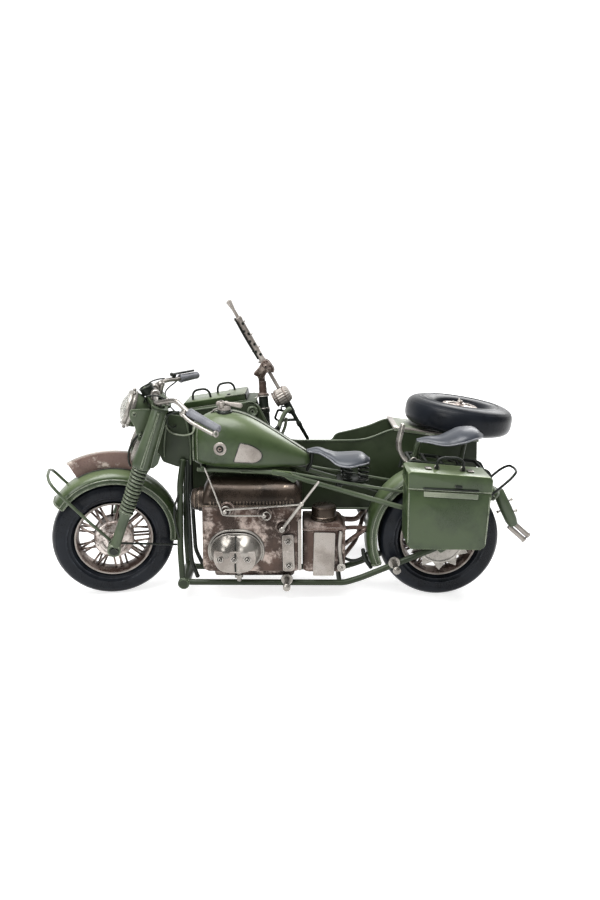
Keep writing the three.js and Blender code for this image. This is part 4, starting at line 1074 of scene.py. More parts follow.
# %% [markdown]
# The real badges are thin castings pinned to the flanks, and the real stripes are painted
# over the roof. Here both are thin skins that read their height from the tank's curves.
# %% Tank pieces
make("tank_body", skin(tank_rings()), "green", "fuel_tank")
knee = rounded([(-149.6, 124), (-154.6, 109.6), (-137.6, 108.8), (-133.2, 112.8), (-134.6, 117.6),
    (-141, 122.2)], [1.5, 1.5, 3.5, 3, 4, 4], 8)
disc = circle(1, 36)
EYE = np.array([-164.2, 119.4])
for name, outline, lift, finish in (("knee_panels", knee, 0.75, "cream"),
        ("badge_rings", disc * 4.8 + EYE, 0.7, "cream"), ("badge_eyes", disc * 2.9 + EYE, 0.95,
        "black_wire")):
    make(name, total(badge(outline, s, lift) for s in (-1, 1)), finish)
pin_y = tank_side(*EYE) + 0.8
pins = total(bolt((EYE[0], s * pin_y, EYE[1]), (0, s, 0), 1.7) for s in (-1, 1))
make("badge_pins", pins, "rust")
knee_edge = np.stack([knee[:, 0], tank_side(knee[:, 0], knee[:, 1]) + 0.25, knee[:, 1]], -1)
borders = total(sweep(knee_edge * [1, s, 1], circle(0.42, 8), loop=True, up=(0, 1, 0))
    for s in (-1, 1))
make("knee_borders", borders, "black_wire")


def tank_hoop(x, lift, radius):
    """A wire laid over the tank's section at one x, lifted off the skin."""
    angle = np.radians(np.linspace(-30, 210, 70))
    top, low, half, waist = tank_curves(x)
    c, s = np.cos(angle), np.sin(angle)
    rise = np.where(s > 0, (top - waist) * np.abs(s) ** CROWN, -(waist - low) * np.abs(s) ** BELLY)
    points = np.stack([np.full(70, x), (half + lift) * signed(c, FLANK), waist + rise + lift * s],
        -1)
    return sweep(points, circle(radius, 8), up=(1, 0, 0))


make("tank_front_seams", tank_hoop(-184.6, 0.1, 0.7) + tank_hoop(-181.4, 0.05, 0.4), "grey_green")


def roof_line(y):
    """Points just above the tank's roof at y, drawn in where the tank is narrow."""
    x = np.linspace(-172, -101.5, 60)
    across = y * np.minimum(1, tank_curves(x)[2] / 10)
    return np.stack([x, across, tank_roof(x, across) + 0.1], -1)


stripes = total(sweep(roof_line(y), circle(0.3, 6)) for y in (-4.6, -3.5, 3.5, 4.6))
make("tank_pinstripes", stripes, "black_wire")
band_x = np.linspace(-173, -101.5, 60)
band_y = np.linspace(-1, 1, 9) * 3.1
across = band_y[None] * np.minimum(1, tank_curves(band_x)[2] / 10)[:, None]
roof = tank_roof(band_x[:, None], across) + 0.32 * np.sqrt(1 - (band_y / 3.15) ** 2)[None]
upper = np.stack([np.broadcast_to(band_x[:, None], roof.shape), across, roof], -1)
lower = upper[:, ::-1] - [0, 0, 1.2]
make("tank_centre_band", skin(np.concatenate([upper, lower], 1), flat_ends=True), "pale_green")
report("tank")

# %% [markdown]
# The filler is a small casting: a collar, a cap and a wing across it that two fingers can
# turn. The cap turns on its own body, so the collar that stays on the tank is separate.
# %% Filler cap
cap_place = joint("filler_cap_twist")[0]
CAP = (cap_place - HOME[:3, 3]) / MM
CAP[2] = tank_roof(CAP[0], CAP[1])
collar = lathe([(0, -3), (5.6, -3), (5.9, 0.2), (5.2, 1), (4.9, 0.8), (0, 0.8)], CAP, (0, 0, 1),
    48)
make("filler_collar", collar, "black_wire")
cap = lathe([(0, 0.9), (4.3, 0.9), (4.7, 1.4), (4.7, 3.4), (4.1, 4.2), (2.6, 4.6), (0, 4.9)], CAP,
    (0, 0, 1), 48)
share = np.linspace(-1, 1, 40)
wing_path = np.stack([CAP[0] + 3.6 + 9.8 * share, np.full(40, CAP[1]),
    CAP[2] + 5.4 - 0.9 * share - 0.7 * share ** 2], -1)
wing_size = np.sqrt(np.clip(1 - share ** 8, 0.02, 1)) * (1.35 + 0.75 * share ** 2)
wing = sweep(wing_path, circle(1, 18) * [1.25, 0.8], wing_size)
lobe = rod(CAP + [0.5, 3, 5], CAP + [1, 8.2, 4.6], 2.2, 1.9)
cap_bolt = rod(CAP + [-1.5, -3.4, 4.2], CAP + [-1.7, -4.4, 7], 2.2) + bolt(CAP + [-1.7, -4.4, 7],
    (0, -0.3, 1), 2.3)
make("filler_cap_cast", cap + wing + lobe + cap_bolt, "cream", "filler_cap", body="filler")
hinge = wire([CAP + [-12, 2, -4], CAP + [-8, 1, 0.6], CAP + [-3.5, 0, 2.6]], 0.7, 30)
make("filler_chain", hinge, "silver")
report("filler")

# %% [markdown]
# ## Engine
# The engine is a brown block with a rounded lid, a twin-lobed silver cover low on its side,
# and a gearbox behind. The block's faces are flat sheet with soft folds, so it is an outline
# pushed sideways with eased edges. The lid is a half-round bar whose ends are domed.
# %% Block and lid
block = sheet([(-179, 29), (-176, 25.5), (-108, 25.5), (-105, 29), (-105, 77), (-178.4, 77)],
    [2, 3, 3, 2, 2, 2], -24, 24, 1.6)
sump = sheet([(-171, 17.5), (-111, 17.5), (-109, 26), (-172, 26)], 2, -12, 12, 1)
make("engine_block_skin", block + sump, "rust", "engine_block", ease=0.3)


def lid_rings(front, rear, low, count=70):
    """Sections of a half-round lid: width follows the cosine to the power 0.5 and height the
    sine to the power 0.75, both shrink at the ends, and a shallow rib repeats near the skirt."""
    t = np.linspace(0, 1, count)
    x = front + (rear - front) * t
    end = np.clip(np.minimum(t, 1 - t) / 0.09, 0, 1)
    dome = np.sqrt(1 - (1 - end) ** 2)
    angle = np.linspace(0, np.pi, 40)
    side, up = np.cos(angle), np.sin(angle)
    wide = 23.2 * (0.86 + 0.14 * dome)[:, None] * signed(side, 0.5)
    high = 17.4 * (0.35 + 0.65 * dome)[:, None] * up ** 0.75
    return np.stack([np.broadcast_to(x[:, None], wide.shape), wide, low + high], -1)


lid_arcs = lid_rings(-178.5, -104.4, 77.1)
make("engine_lid", skin(lid_arcs, flat_ends=True), "bronze", "engine_cover", ease=0.4)
x = np.linspace(-172, -111, 26)
ribs = total(sheet([(v - 0.55, 77.4), (v + 0.55, 77.4), (v + 0.55, 80.4), (v - 0.55, 80.4)], 0.3,
    s * 23.3 - 0.7, s * 23.3 + 0.7, 0.3, steps=3) for v in x for s in (-1, 1))
flanges = total(sheet([(-178, 76.4), (-105, 76.4), (-105, 77.9), (-178, 77.9)], 0.6,
    s * 24.2 - 0.8, s * 24.2 + 0.8, 0.3) for s in (-1, 1))
make("engine_lid_ribs", ribs + flanges, "bronze")
front_pot = lathe([(0, 9.6), (5.2, 9.4), (7.2, 8.6), (8, 7), (8, 3.6), (9.4, 3.4), (9.4, 0),
    (0, 0)], (-178.4, -9, 78), (-1, 0, 0.02), 48)
front_pot += total(bead_ring(8, 0.5, (-178.4 - d, -9, 78), (1, 0, 0), 48) for d in (4.6, 5.8))
make("engine_front_pot", front_pot, "bronze", "front_cylinder")
report("engine")

# %% [markdown]
# The rocker cover is two soft domes that meet in a crease. A dome is a height over a round
# outline, so the cover is one height field: the larger of two domes at every point, over a
# pill-shaped outline. Rings shrink the outline, and every point reads its height.
# %% Rocker covers
def face_bolts(spots, y, radius=2.1):
    """Ringed screws on a face that looks along Y, on the side that y is on."""
    side = math.copysign(1, y)
    return total(bolt((x, y, z), (0, side, 0), radius * 0.72, 1.5)
        + bead_ring(radius, 0.5, (x, y, z), (0, 1, 0), 24, 8) for x, z in spots)


LOBE_X, LOBE_Z = (-160.2, -147), 42.5
CREASE_X = sum(LOBE_X) / 2


def lobe_height(x, z):
    """The larger of two domes, each 9.4 * (1 - (distance / 12.4)^2.1), above a flat rim."""
    reach = [np.hypot(x - c, z - LOBE_Z) for c in LOBE_X]
    domes = [9.4 * (1 - np.clip(r / 12.4, 0, 1) ** 2.1) for r in reach]
    return np.maximum(domes[0], domes[1])


def cover_shape(side, base):
    """The height field over a pill outline, from its middle out, then down into the block."""
    c, s = circle(1, 96).T
    shift = np.where(c > 0, 6.6, -6.6)
    middle = np.array([CREASE_X, LOBE_Z])
    pill = np.stack([shift * np.abs(c) ** 0.25 + 12.8 * c, 12.8 * s], -1)
    scales = np.r_[np.linspace(0.02, 1, 30), 1]
    flat = middle + scales[:, None, None] * pill
    height = lobe_height(flat[..., 0], flat[..., 1]) + 1.2
    height[-1] = -1.0
    y = side * (base + height)
    return skin(np.stack([flat[..., 0], y, flat[..., 1]], -1))


def ridge(side, base, wide, tall, radius, start=-28, end=208):
    """A pressed ridge round the cover's upper side: wire laid along most of a wider pill."""
    angle = np.radians(np.linspace(start, end, 70))
    points = np.stack([CREASE_X + 6.6 * signed(np.cos(angle), 0.25) + wide * np.cos(angle),
        np.full(70, side * base), LOBE_Z + tall * np.sin(angle)], -1)
    return wire(points, radius, 110, 10)


for name, side in NAMED_SIDES:
    strap = rounded([(-169.4, 45), (-169.6, 37), (-166, 30.4), (-160, 28.4), (-148, 28.4),
        (-142, 30.4), (-138.2, 37), (-138.6, 45)], [1.5, 4, 4, 4, 4, 4, 4, 1.5])
    strip = slab(strap, *sorted((side * 24.2, side * 34.2)), 0.9)
    crease = wire([(CREASE_X, side * 34.4, 44), (CREASE_X, side * 34.4, 40.6)], 0.6, 12)
    crease += wire([(CREASE_X, side * 34.4, 36), (CREASE_X, side * 34.2, 29.4)], 0.6, 14)
    crease += wire([(CREASE_X, side * (25.3 + float(lobe_height(CREASE_X, z))), z)
        for z in (54.2, 52, 49, 46, 43)], 0.5, 24)
    heads = face_bolts([(-165, 39.2), (-154.4, 39.4), (-144.8, 39.2)], side * 34.4, 2.2)
    ridges = ridge(side, 24.4, 13.6, 15.6, 1) + ridge(side, 25, 12.4, 13.2, 0.7, -60, 240)
    stem = rod((-151.6, side * 27.5, 30), (-151.6, side * 26, 19.5), 2.3, 1.7)
    stem += lathe([(1.2, -1), (3.1, -1), (3.1, 1), (1.2, 1)], (-151.6, side * 26.6, 23.6),
        (0, 0, 1), 24, loop=True)
    make(f"rocker_domes_{name}", cover_shape(side, 24), "silver", f"rocker_cover_{name}")
    for part, shape, finish in (("strap", strip, "cream"), ("bolts", heads, "silver"),
            ("crease", crease, "black_wire"), ("ridge", ridges, "silver"),
            ("drain", stem, "silver")):
        make(f"rocker_{part}_{name}", shape, finish)
report("rocker covers")

# %% [markdown]
# The gear linkage is stiff wire hooked through turned posts. The gearbox behind the engine
# is another folded block, with a turned air pot on top, a pale strap and a few pipes.
# %% Side plates, linkage and gearbox
for name, side in NAMED_SIDES:
    plate = sheet([(-119.4, 55), (-111, 55.4), (-110, 29), (-112, 26.6), (-118.8, 26.8)], 1.6,
        *sorted((side * 24.2, side * 26.4)), 0.5)
    strip = sheet([(-107.6, 27), (-105, 27), (-105, 68), (-107.6, 66)], 0.8,
        *sorted((side * 24, side * 25.2)), 0.3)
    make(f"engine_side_plate_{name}", plate + strip, "cream")
    make(f"engine_side_bolts_{name}", face_bolts([(-115, 50.4), (-114.4, 31.4)], side * 26.6, 2.2),
        "silver")

LINK_Y = -29.5
links = total(wire([(x, LINK_Y, z) for x, z in points], radius, 16 * len(points), 8) for radius,
    points in ((0.6, [(-174.6, 107), (-171, 97), (-163.6, 75.4), (-162.6, 72.4), (-160, 71.6),
    (-133, 71.2)]), (0.6, [(-161, 75.6), (-134, 77.6), (-106, 79.8)]),
    (0.9, [(-92.4, 97.2), (-104.8, 80.4)]), (1.2, [(-104.8, 80.4), (-119.6, 60.4)])))
joints_at = [(-161, 74), (-132.4, 71), (-105, 80.2)]
links += total(rod((x, LINK_Y + 1.2, z), (x, LINK_Y - 1.3, z), 1.5) for x, z in joints_at)
links += bead_ring(3, 0.5, (-130.6, LINK_Y, 71), (0, 1, 0), 32) + bead_ring(3.2, 0.5,
    (-160.4, LINK_Y + 1, 74.6), (0, 1, 0), 32)
links += rod((-119.4, LINK_Y + 1, 60.6), (-119.4, LINK_Y - 1.6, 60.6), 2)
make("gear_link_wires", links, "silver", "gear_linkage")
posts = total(rod((x, -24, z), (x, LINK_Y + 1, z), 2.4, 1.6) for x,
    z in ((-161, 74), (-132.4, 71), (-119.4, 60.6)))
posts += total(lathe([(0, 0), (5.4, 0), (5.4, 0.9), (4.4, 1.5), (3.2, 0.9), (0, 0.9)], (x, -24, z),
    (0, -1, 0), 36) for x, z in ((-159.6, 75), (-132.4, 71), (-119, 61.5)))
make("gear_link_posts", posts, "rust")
report("engine fittings")

gearbox = sheet([(-104.2, 25), (-101, 23), (-74, 23), (-72, 25), (-72, 57), (-76, 62.4),
    (-104.2, 62.4)], [1, 2, 2, 2, 3, 3, 1.5], -18.4, 12, 1.2)
step = sheet([(-104.4, 56.2), (-71.6, 56.2), (-71.6, 58.2), (-104.4, 58.2)], 0.8, -19.2, 12.6, 0.5)
make("gearbox_case", gearbox + step, "rust", "gearbox", ease=0.2)
strap = sheet([(-96.4, 20.5), (-80.4, 20.5), (-79.6, 54.6), (-95.6, 55)], 1.2, -20.2, -18.2, 0.6)
make("gearbox_strap", strap, "cream")
pot = lathe([(0, 0), (9.6, 0), (10.2, 0.8), (10, 2.2), (9.2, 3), (9.4, 8.4), (8.8, 10.2), (7, 11),
    (3, 11.2), (0, 11.2)], (-88, -8, 62.2), (0, 0, 1), 56)
make("air_pot", pot, "bronze", "air_filter")
lever = wire([(-75.6, -19.8, 56), (-76.4, -20, 44), (-75, -20, 30)], 1.6, 40, 10)
lever += lathe([(1.4, -1.2), (3.2, -1.2), (3.2, 1.2), (1.4, 1.2)], (-75, -19.8, 27.6), (0, 1, 0),
    28, loop=True)
lever += bolt((-75, -20.4, 27.6), (0, -1, 0), 1.2)
make("gear_lever", lever, "silver")
pipes = wire([(-73, -6, 54), (-64, -6, 54.4), (-51.5, -6, 53.6)], 1.7, 30)
pipes += wire([(-73, -6, 40), (-65, -6, 46.4), (-55, -6, 54)], 1.9, 30)
make("gearbox_pipes", pipes, "rust")
hoses = wire([(-73, -6, 30), (-66, -6, 27.6), (-59, -6, 29.4), (-51, -6, 38)], 1.2, 40)
hoses += wire([(-58, -8, 38), (-56.6, -8, 31), (-51, -8, 22)], 1.6, 40)
make("gearbox_hoses", hoses, "black_wire")
report("gearbox")

# %% [markdown]
# ## Frame
# The frame is bent steel rod. The two loops are mirror images, so every rod is written once
# for the near side and mirrored. Rods keep tight bends, which a smooth curve gives if two
# of its points stand close together at each bend.
# %% Frame loops
def bent_rod(corners, radius, pull=3, steps=12, sides=14):
    """Rod along straight lines with tight bends: each inner corner is swapped for a short
    parabola between points at the pull distance from it."""
    p = np.asarray(corners, float)
    bends = eased(p[1:-1], p[:-2], p[2:], pull, 0.45, steps)
    path = np.vstack([p[:1], bends, p[-1:]])
    direction = unit(np.gradient(path, axis=0))
    cap = np.array([0, 0.35])[:, None] * radius
    path = np.vstack([path[0] + cap * direction[0], path[1:-1],
        path[-1] - cap[::-1] * direction[-1]])
    size = np.r_[0.7, np.ones(len(path) - 2), 0.7]
    return sweep(path, circle(radius, sides), size)


LOOP = [(-193, -10, 109), (-195, -16, 92), (-196.5, -16, 40), (-195.6, -16, 15), (-190, -16, 14),
    (-72, -16, 13.6), (-60, -16, 17.5), (-3, -16, 41.8)]
loops = both_sides(bent_rod(LOOP, 2.3, 4))
foot = rod((-194.6, -19.4, 13.6), (-194.6, 19.4, 13.6), 4.4, sides=24, chamfer=0.8)
cross = rod((-76, -16, 13.6), (-76, 16, 13.6), 1.9) + rod((-178, -16, 103), (-178, 16, 103), 1.8)
make("frame_loops", loops + foot + cross, "deep_green",
    "down_tube_left down_tube_right bottom_tube_left bottom_tube_right")
rails = both_sides(bent_rod([(-183, -9, 101.2), (-121, -16.4, 100.6), (-112, -16.4, 97.6),
    (-9, -16.4, 67.4)], 1.9, 5))
rails += both_sides(bent_rod([(-150, -15, 100.4), (-118, -15.4, 100.8), (-70, -15.6, 92),
    (-20, -14.2, 83.5)], 1.1, 5))
make("frame_rails", rails, "grey_green", "top_rail_left top_rail_right")
inner = both_sides(bent_rod([(-190, -8.4, 108), (-190.6, -10, 88), (-189, -12, 30),
    (-184, -14, 17)], 1.6, 4))
inner += both_sides(wire([(-196, -18.6, 84), (-199.2, -19.2, 74), (-198.8, -19.2, 60),
    (-196.6, -18.4, 50)], 0.8, 40))
make("frame_inner_struts", inner, "black_wire")
plates = both_sides(sheet([(-9.4, 60), (2, 70), (6, 66), (5.5, 41), (0, 37.5), (-5, 42)], 1.5,
    -17.4, -14.8, 0.5))
plates += both_sides(sheet([(-127, 103), (-113, 101), (-108, 95), (-111, 92.6), (-118, 97.5),
    (-127, 99)], 1.2, -17.6, -15.6, 0.4))
make("frame_plates", plates, "green")


def peg(x, z):
    """A foot peg that points at the viewer: a ringed foot, a bar and a mushroomed end."""
    ring = lathe([(2, -0.9), (4.2, -0.9), (4.6, 0), (4.2, 0.9), (2, 0.9)], (x, -18.8, z),
        (0, 1, 0), 32, loop=True)
    bar = rod((x, -15, z), (x, -33.5, z), 2)
    end = lathe([(0, 3.6), (1.6, 3.4), (2.9, 2.2), (2.9, 0.4), (2.2, 0), (0, 0)], (x, -33, z),
        (0, -1, 0), 28)
    return both_sides(ring + bar + end)


make("foot_pegs", peg(-116, 17.4) + peg(-35, 30.8), "silver")
report("frame")

# %% [markdown]
# The steering head is boxed in by two gusset panels between the fork and the tank. Thin
# wires run over them, and a tube on the steering axis carries the fork.
# %% Steering head
gusset = rounded([(-214, 140), (-203, 142.6), (-190.5, 141), (-186.5, 122), (-187, 104),
    (-197, 102.4), (-208.6, 106.6), (-211, 113), (-218, 115)], 2)
panels = both_sides(slab(gusset, -8.4, -6.8, 0.5))
panels += sheet([(-212, 138), (-191, 138), (-189, 106), (-208, 109)], 2, -6.9, 6.9, 0.3)
head_up = np.array([math.sin(math.radians(19.8)), 0, math.cos(math.radians(19.8))])
head_top = np.array([-210.8, 0, 148.8])
panels += rod(head_top - 36 * head_up, head_top - 3.4 * head_up, 6.4)
make("head_gussets", panels, "deep_green", "steering_head")
edge = both_sides(wire([(-190.6, -8.6, 141), (-187.4, -8.6, 122), (-187.8, -8.8, 104.6)], 0.8, 40)
    + wire([(-203.5, -9, 138.6), (-206.6, -9.2, 121), (-207, -9, 110.6)], 0.6, 40))
make("head_edges", edge, "grey_green")
loop_wire = wire([(-205, -9.4, 134.6), (-202, -10.6, 130), (-192, -12.4, 127.6),
    (-184.5, -14, 130.2), (-183, -13.2, 134.6)], 0.6, 60)
make("head_loop_wire", loop_wire, "pale_green")
report("steering head")

# %% [markdown]
# ## Rear mudguard and rack
# The rear guard is the same crowned sheet as the front one, on a longer arc. A small rack of
# bent wire stands on it. It carries the pillion post, and a bright bent handle in front.
# %% Rear guard and rack
REAR_GUARD = (0, 0, 47.5)
mudguard("rear_guard", "rear_mudguard", REAR_GUARD, 56.5, (39, 204), 13.4, steps=80)


def rack_top(x):
    """Height of the rack, which falls gently to the rear."""
    return 108.2 - 0.13 * (x + 22)


bars = both_sides(bent_rod([(-29, -13, 97), (-26, -13, rack_top(-26)), (33, -13, rack_top(33)),
    (36, -13, 95)], 1.3, 4))
bars += total(rod((x, -13, rack_top(x)), (x, 13, rack_top(x)), 1.2) for x in (-24, -12, 0, 14, 29))
bars += both_sides(wire([(-16, -15, 98), (-10, -15.4, 104.5), (6, -15.6, 103.8), (16, -15.6, 97)],
    0.8, 50))
make("rack_bars", bars, "black_wire", "luggage_rack")
handle_path = [(-25.5, 0, 106.4), (-28.4, 0, 109), (-31.2, 0, 114), (-31.8, 0, 120),
    (-30.2, 0, 128), (-29, 0, 133.6)]
handles = both_sides(wire([(x, -6.4 * (1 - k / 5) - 1.2, z) for k,
    (x, _, z) in enumerate(handle_path)], 1.7, 70, 14))
make("grab_bar", handles, "silver", "grab_handle")
clutter = total(rod((x, y, z), (x + 1.5, y - 3, z + 2), r) for x, y, z,
    r in ((-27, -8, 104.5, 1.7), (-23, -9, 107.5, 1.5), (-19.6, -8, 105.6, 1.8),
    (-24.6, -11, 103.4, 1.3)))
clutter += bead_ring(2.2, 0.6, (-22, -12.6, 108.4), (0, 1, 0), 28) + nut((-18, -11, 106.6),
    (0, 0, 1), 2.2, 1.6)
clutter += wire([(-30, -9, 103), (-26, -12, 106), (-20, -12.6, 105), (-16, -12, 108)], 0.7, 40)
make("rack_fittings", clutter, "silver")
report("rear guard and rack")

# %% [markdown]
# ## Saddles
# The saddles are pressed tin, painted like leather. Seen from the side the rider's saddle is
# a lazy wave and the pillion rises to a hump; seen from above both are pears. A section at x
# is a flat oval that droops towards its edges, so three curves and one droop make both.
# %% Saddle pans
def saddle(front, rear, top, low, half, droop, count=60, sides=48):
    """Rings along X. Across, y is half times the cosine; in height the section is an oval
    between low and top, lowered by droop times |y / half|^2.2, with a shallow groove."""
    share = 0.5 - 0.5 * np.cos(np.linspace(0, np.pi, count))
    x = front + share * (rear - front)
    high, deep = interp(top, share), interp(low, share)
    wide = np.maximum(interp(half, share), 0.4)
    c, s = circle(1, sides).T
    across = signed(c, 0.8)
    y = wide[:, None] * across
    middle = (high + deep)[:, None] / 2
    thick = (high - deep)[:, None] / 2
    sag = droop * (wide / wide.max())[:, None] * np.abs(across) ** 2.2
    groove = 0.5 * np.exp(-(y / 2.2) ** 2) * np.clip(s, 0, 1) * (wide / wide.max())[:, None]
    z = middle + thick * signed(s, 0.7) - sag - groove
    return skin(np.stack([np.broadcast_to(x[:, None], y.shape), y, z], -1))


def saddle_seam(front, rear, level, half, droop, radius=0.55):
    """A raised seam round the saddle's edge at the given heights."""
    share = np.linspace(0.03, 0.97, 24)
    x = front + share * (rear - front)
    z, wide = interp(level, share), interp(half, share)
    sag = droop * wide / wide.max()
    near = np.stack([x, -wide - 0.1, z - sag], -1)
    far = np.stack([x, wide + 0.1, z - sag], -1)[::-1]
    return wire(np.vstack([near, far]), radius, 150, 8, loop=True, up=(0, 0, 1))


for name, front, rear, droop, top, low, half in (("rider", -101, -53.6, 3.2,
        (114.5, 116, 113.6, 111.4, 111.6, 112, 108), (112.5, 111.6, 108.4, 105.8, 105.2, 105.4,
        104.4), (2.6, 5.2, 8.4, 16.2, 18.4, 15.6, 5)), ("pillion", -18.4, 30.6, 3.6,
        (122.4, 124.2, 124.6, 127.6, 131, 131.6, 126.6), (120.6, 120.2, 119.8, 121, 123, 125, 124),
        (2.8, 6.4, 11, 15.6, 17.4, 14.6, 4.6))):
    level = [(a + b) / 2 for a, b in zip(top, low)]
    make(f"{name}_saddle_pan", saddle(front, rear, top, low, half, droop), "saddle",
        f"{name}_saddle")
    make(f"{name}_saddle_seam", saddle_seam(front, rear, level, half, droop), "grip")
springs = total(helix((-71 + s, y), 4.4, 3.2, 104.5, 91.5, 5, 0.8) for s,
    y in ((0, -8), (0, 8), (13, 0)))
plate = lying(sheet([(-78, -13), (-64, -13), (-54, -5), (-54, 5), (-64, 13), (-78, 13)], 3, 89.6,
    91.8, 0.4))
neck = rod((-74, 0, 91), (-78, 0, 84), 2.6) + wire([(-97, 0, 112), (-98, 0, 104), (-101, 0, 97.6)],
    1.6, 30)
make("rider_saddle_springs", springs + plate + neck, "black_wire")
post = both_sides(wire([(-22, -3.4, 107.4), (-19.4, -3.4, 110), (-18.4, -3.4, 115),
    (-16.4, -3.4, 120.6)], 1.5, 40))
post += sheet([(-20.6, 107), (-17.2, 107), (-15.6, 120.4), (-17.8, 120.8)], 1, -3.4, 3.4, 0.4)
post += rod((18, 0, 121.6), (15, 0, rack_top(15)), 1.8)
make("pillion_post", post, "deep_green")
report("saddles")

# %% [markdown]
# ## Pannier
# The pannier is a folded tin box on the near side with a lid hinged at its back edge. Both
# are open shells, so the lid can swing without showing a solid inside: each shell is an
# outline carried across to the near face, then the same outline, shrunk, carried back.
# %% Pannier
NEAR_FACE, FAR_FACE, SHEET = -48, -20, 1.1


def seam_height(x):
    """Height of the seam between box and lid, which falls to the rear."""
    return 96.2 - 0.055 * (x + 30)


box_line = [(-30.2, 55.4), (-27, 52.2), (22.5, 51.6), (25.8, 54.6), (28, seam_height(28)),
    (-30.2, seam_height(-30.2))]
lid_line = [(-30.5, seam_height(-30.5) + 0.5), (28.3, seam_height(28.3) + 0.5), (28.6, 103.4),
    (27, 105), (-29, 109.4), (-30.8, 108)]


def frame_of(outline, keep, y_low, y_high, soft=0.2):
    """A bent strip of sheet: the outline from its keep corner round to the corner before
    it, thickened towards the middle, so that the last stretch stays open."""
    p = np.roll(np.asarray(outline, float), -keep, axis=0)
    centre = p.mean(0)
    inward = unit(centre - p)
    strip = np.vstack([p + 0.15 * inward, (p + 1.4 * SHEET * inward)[::-1]])
    return slab(strip, y_low + 0.25, y_high - 0.25, soft)


box = frame_of(box_line, 5, NEAR_FACE, FAR_FACE)
box_side, lid_side = rounded(box_line, [1.6] * 4 + [0.6] * 2), rounded(lid_line,
    [0.5, 0.5, 1.2, 1.4, 1.4, 1.2])
box += slab(box_side, NEAR_FACE, NEAR_FACE + SHEET, 0.4)
box += slab(box_side, FAR_FACE - SHEET, FAR_FACE, 0.4)
make("pannier_box_sheet", box, "green", "pannier_box")
lid = frame_of(lid_line, 1, NEAR_FACE, FAR_FACE)
lid += slab(lid_side, NEAR_FACE - 0.3, NEAR_FACE + SHEET, 0.4)
lid += slab(lid_side, FAR_FACE - SHEET, FAR_FACE + 0.3, 0.4)
make("pannier_lid_sheet", lid, "green", "pannier_lid", body="lid")
strip_line = rounded([(-19.5, seam_height(-19.5) - 4.2), (18.4, seam_height(18.4) - 4.4),
    (18.6, seam_height(18.6) - 0.6), (-19.6, seam_height(-19.6) - 0.4)], 0.6)
make("pannier_worn_strip", slab(strip_line, NEAR_FACE - 0.9, NEAR_FACE + 0.2, 0.4), "pale_green")
slot_line = wire([(x, NEAR_FACE - 0.5, seam_height(x) + 1.8) for x in (-20, 0, 19)], 0.7, 40)
slot_line += rod((2, NEAR_FACE - 0.2, 98.6), (7, NEAR_FACE - 0.4, 98.2), 1.2)
make("pannier_slot_bar", slot_line, "black_wire", body="lid")
hem_x = np.linspace(-30.4, 28.2, 30)
hems = wire(np.stack([hem_x, np.full(30, NEAR_FACE - 0.2), seam_height(hem_x) + 0.9], -1), 0.55,
    60, 8)
for (x0, z0), (x1, z1), (x2, z2) in (((-29.8, 94), (-29.8, 76), (-29.6, 57)),
        ((26.9, 91), (26.2, 74), (25.2, 56))):
    hems += wire([(x0, NEAR_FACE, z0), (x1, NEAR_FACE - 0.1, z1), (x2, NEAR_FACE, z2)], 0.5, 40, 8)
make("pannier_hems", hems, "grey_green")
clips = total(sheet([(x - 2.2, z), (x + 2.2, z - 0.3), (x + 2.2, z + 1.1), (x - 2.2, z + 1.3)],
    0.5, -38.6, -32.6, 0.3) for x, z in ((-15, 108.2), (15, 105.9)))
clips += total(bead_ring(1.7, 0.55, (x, -36, 109.2 - 0.07 * (x + 9)), (0, 1, 0), 24)
    for x in (-9, 9.6))
make("pannier_clips", clips, "silver", body="lid")
grip_wire = bent_rod([(-9, -36, 107.6), (-9, -36, 113.8), (-5.5, -36, 116.4), (6, -36, 116),
    (10, -36, 113), (9.8, -36, 106.4)], 1.05, 3)
make("pannier_grip_wire", grip_wire, "black_wire", "pannier_handle", body="lid_handle")
report("pannier")

# %% [markdown]
# ## Tail
# Behind the pannier a thin wire loop sticks out, and below it a tapered tube ends in a pair
# of thin pipes. The tube reads as a tail lamp's arm or a silencer; either way it is rolled
# sheet with two studs on its side.
# %% Tail
loop_points = [(36, -15, 82.6), (40, -15, 86), (50, -14.6, 95), (54.8, -10.5, 98.8),
    (56.2, -4, 99.4), (56.2, 4, 99.4), (54.8, 10.5, 98.8), (50, 14.6, 95), (40, 15, 86),
    (36, 15, 82.6)]
make("rear_wire_loop", wire(loop_points, 1, 120), "black_wire", "rear_loop")
axis_tail = unit([12, 0, -24.1])
tube = sweep(np.array([44.6, 0, 82.4]) + np.outer([0, 1.5, 14, 26, 31, 31.6], axis_tail),
    circle(1, 28), [3.4, 4.3, 4.7, 4.6, 3.6, 2.6])
tube += sheet([(42, 80), (46, 83.6), (52, 73), (48, 68)], 1, -1.2, 1.2, 0.4)
pipes = total(rod((56.4 + 1.5 * k, 0, 55 + 1.7 * k), (69.4 + 1.5 * k, 0, 43.6 + 1.7 * k), 1.9)
    + bead_ring(1.9, 0.5, (68.9 + 1.5 * k, 0, 44.1 + 1.7 * k), (0.74, 0, -0.68), 24)
    for k in (-1, 1))
make("tail_tube", tube, "grey_green", "tail_arm")
make("tail_pipes", pipes, "cream")
studs = total(rod((x, y, z), (x + 1.8 * dx, y, z + 0.8 * dx), 0.8)
    + bolt((x + 1.8 * dx, y, z + 0.8 * dx), (dx, 0, 0.4 * dx), 1.3, 1) for x, y, z,
    dx in ((53.2, -2.5, 74.8, 1), (57.4, -2.5, 66, 1), (47, -2.5, 66.4, -1)))
make("tail_studs", studs, "silver")
report("tail")

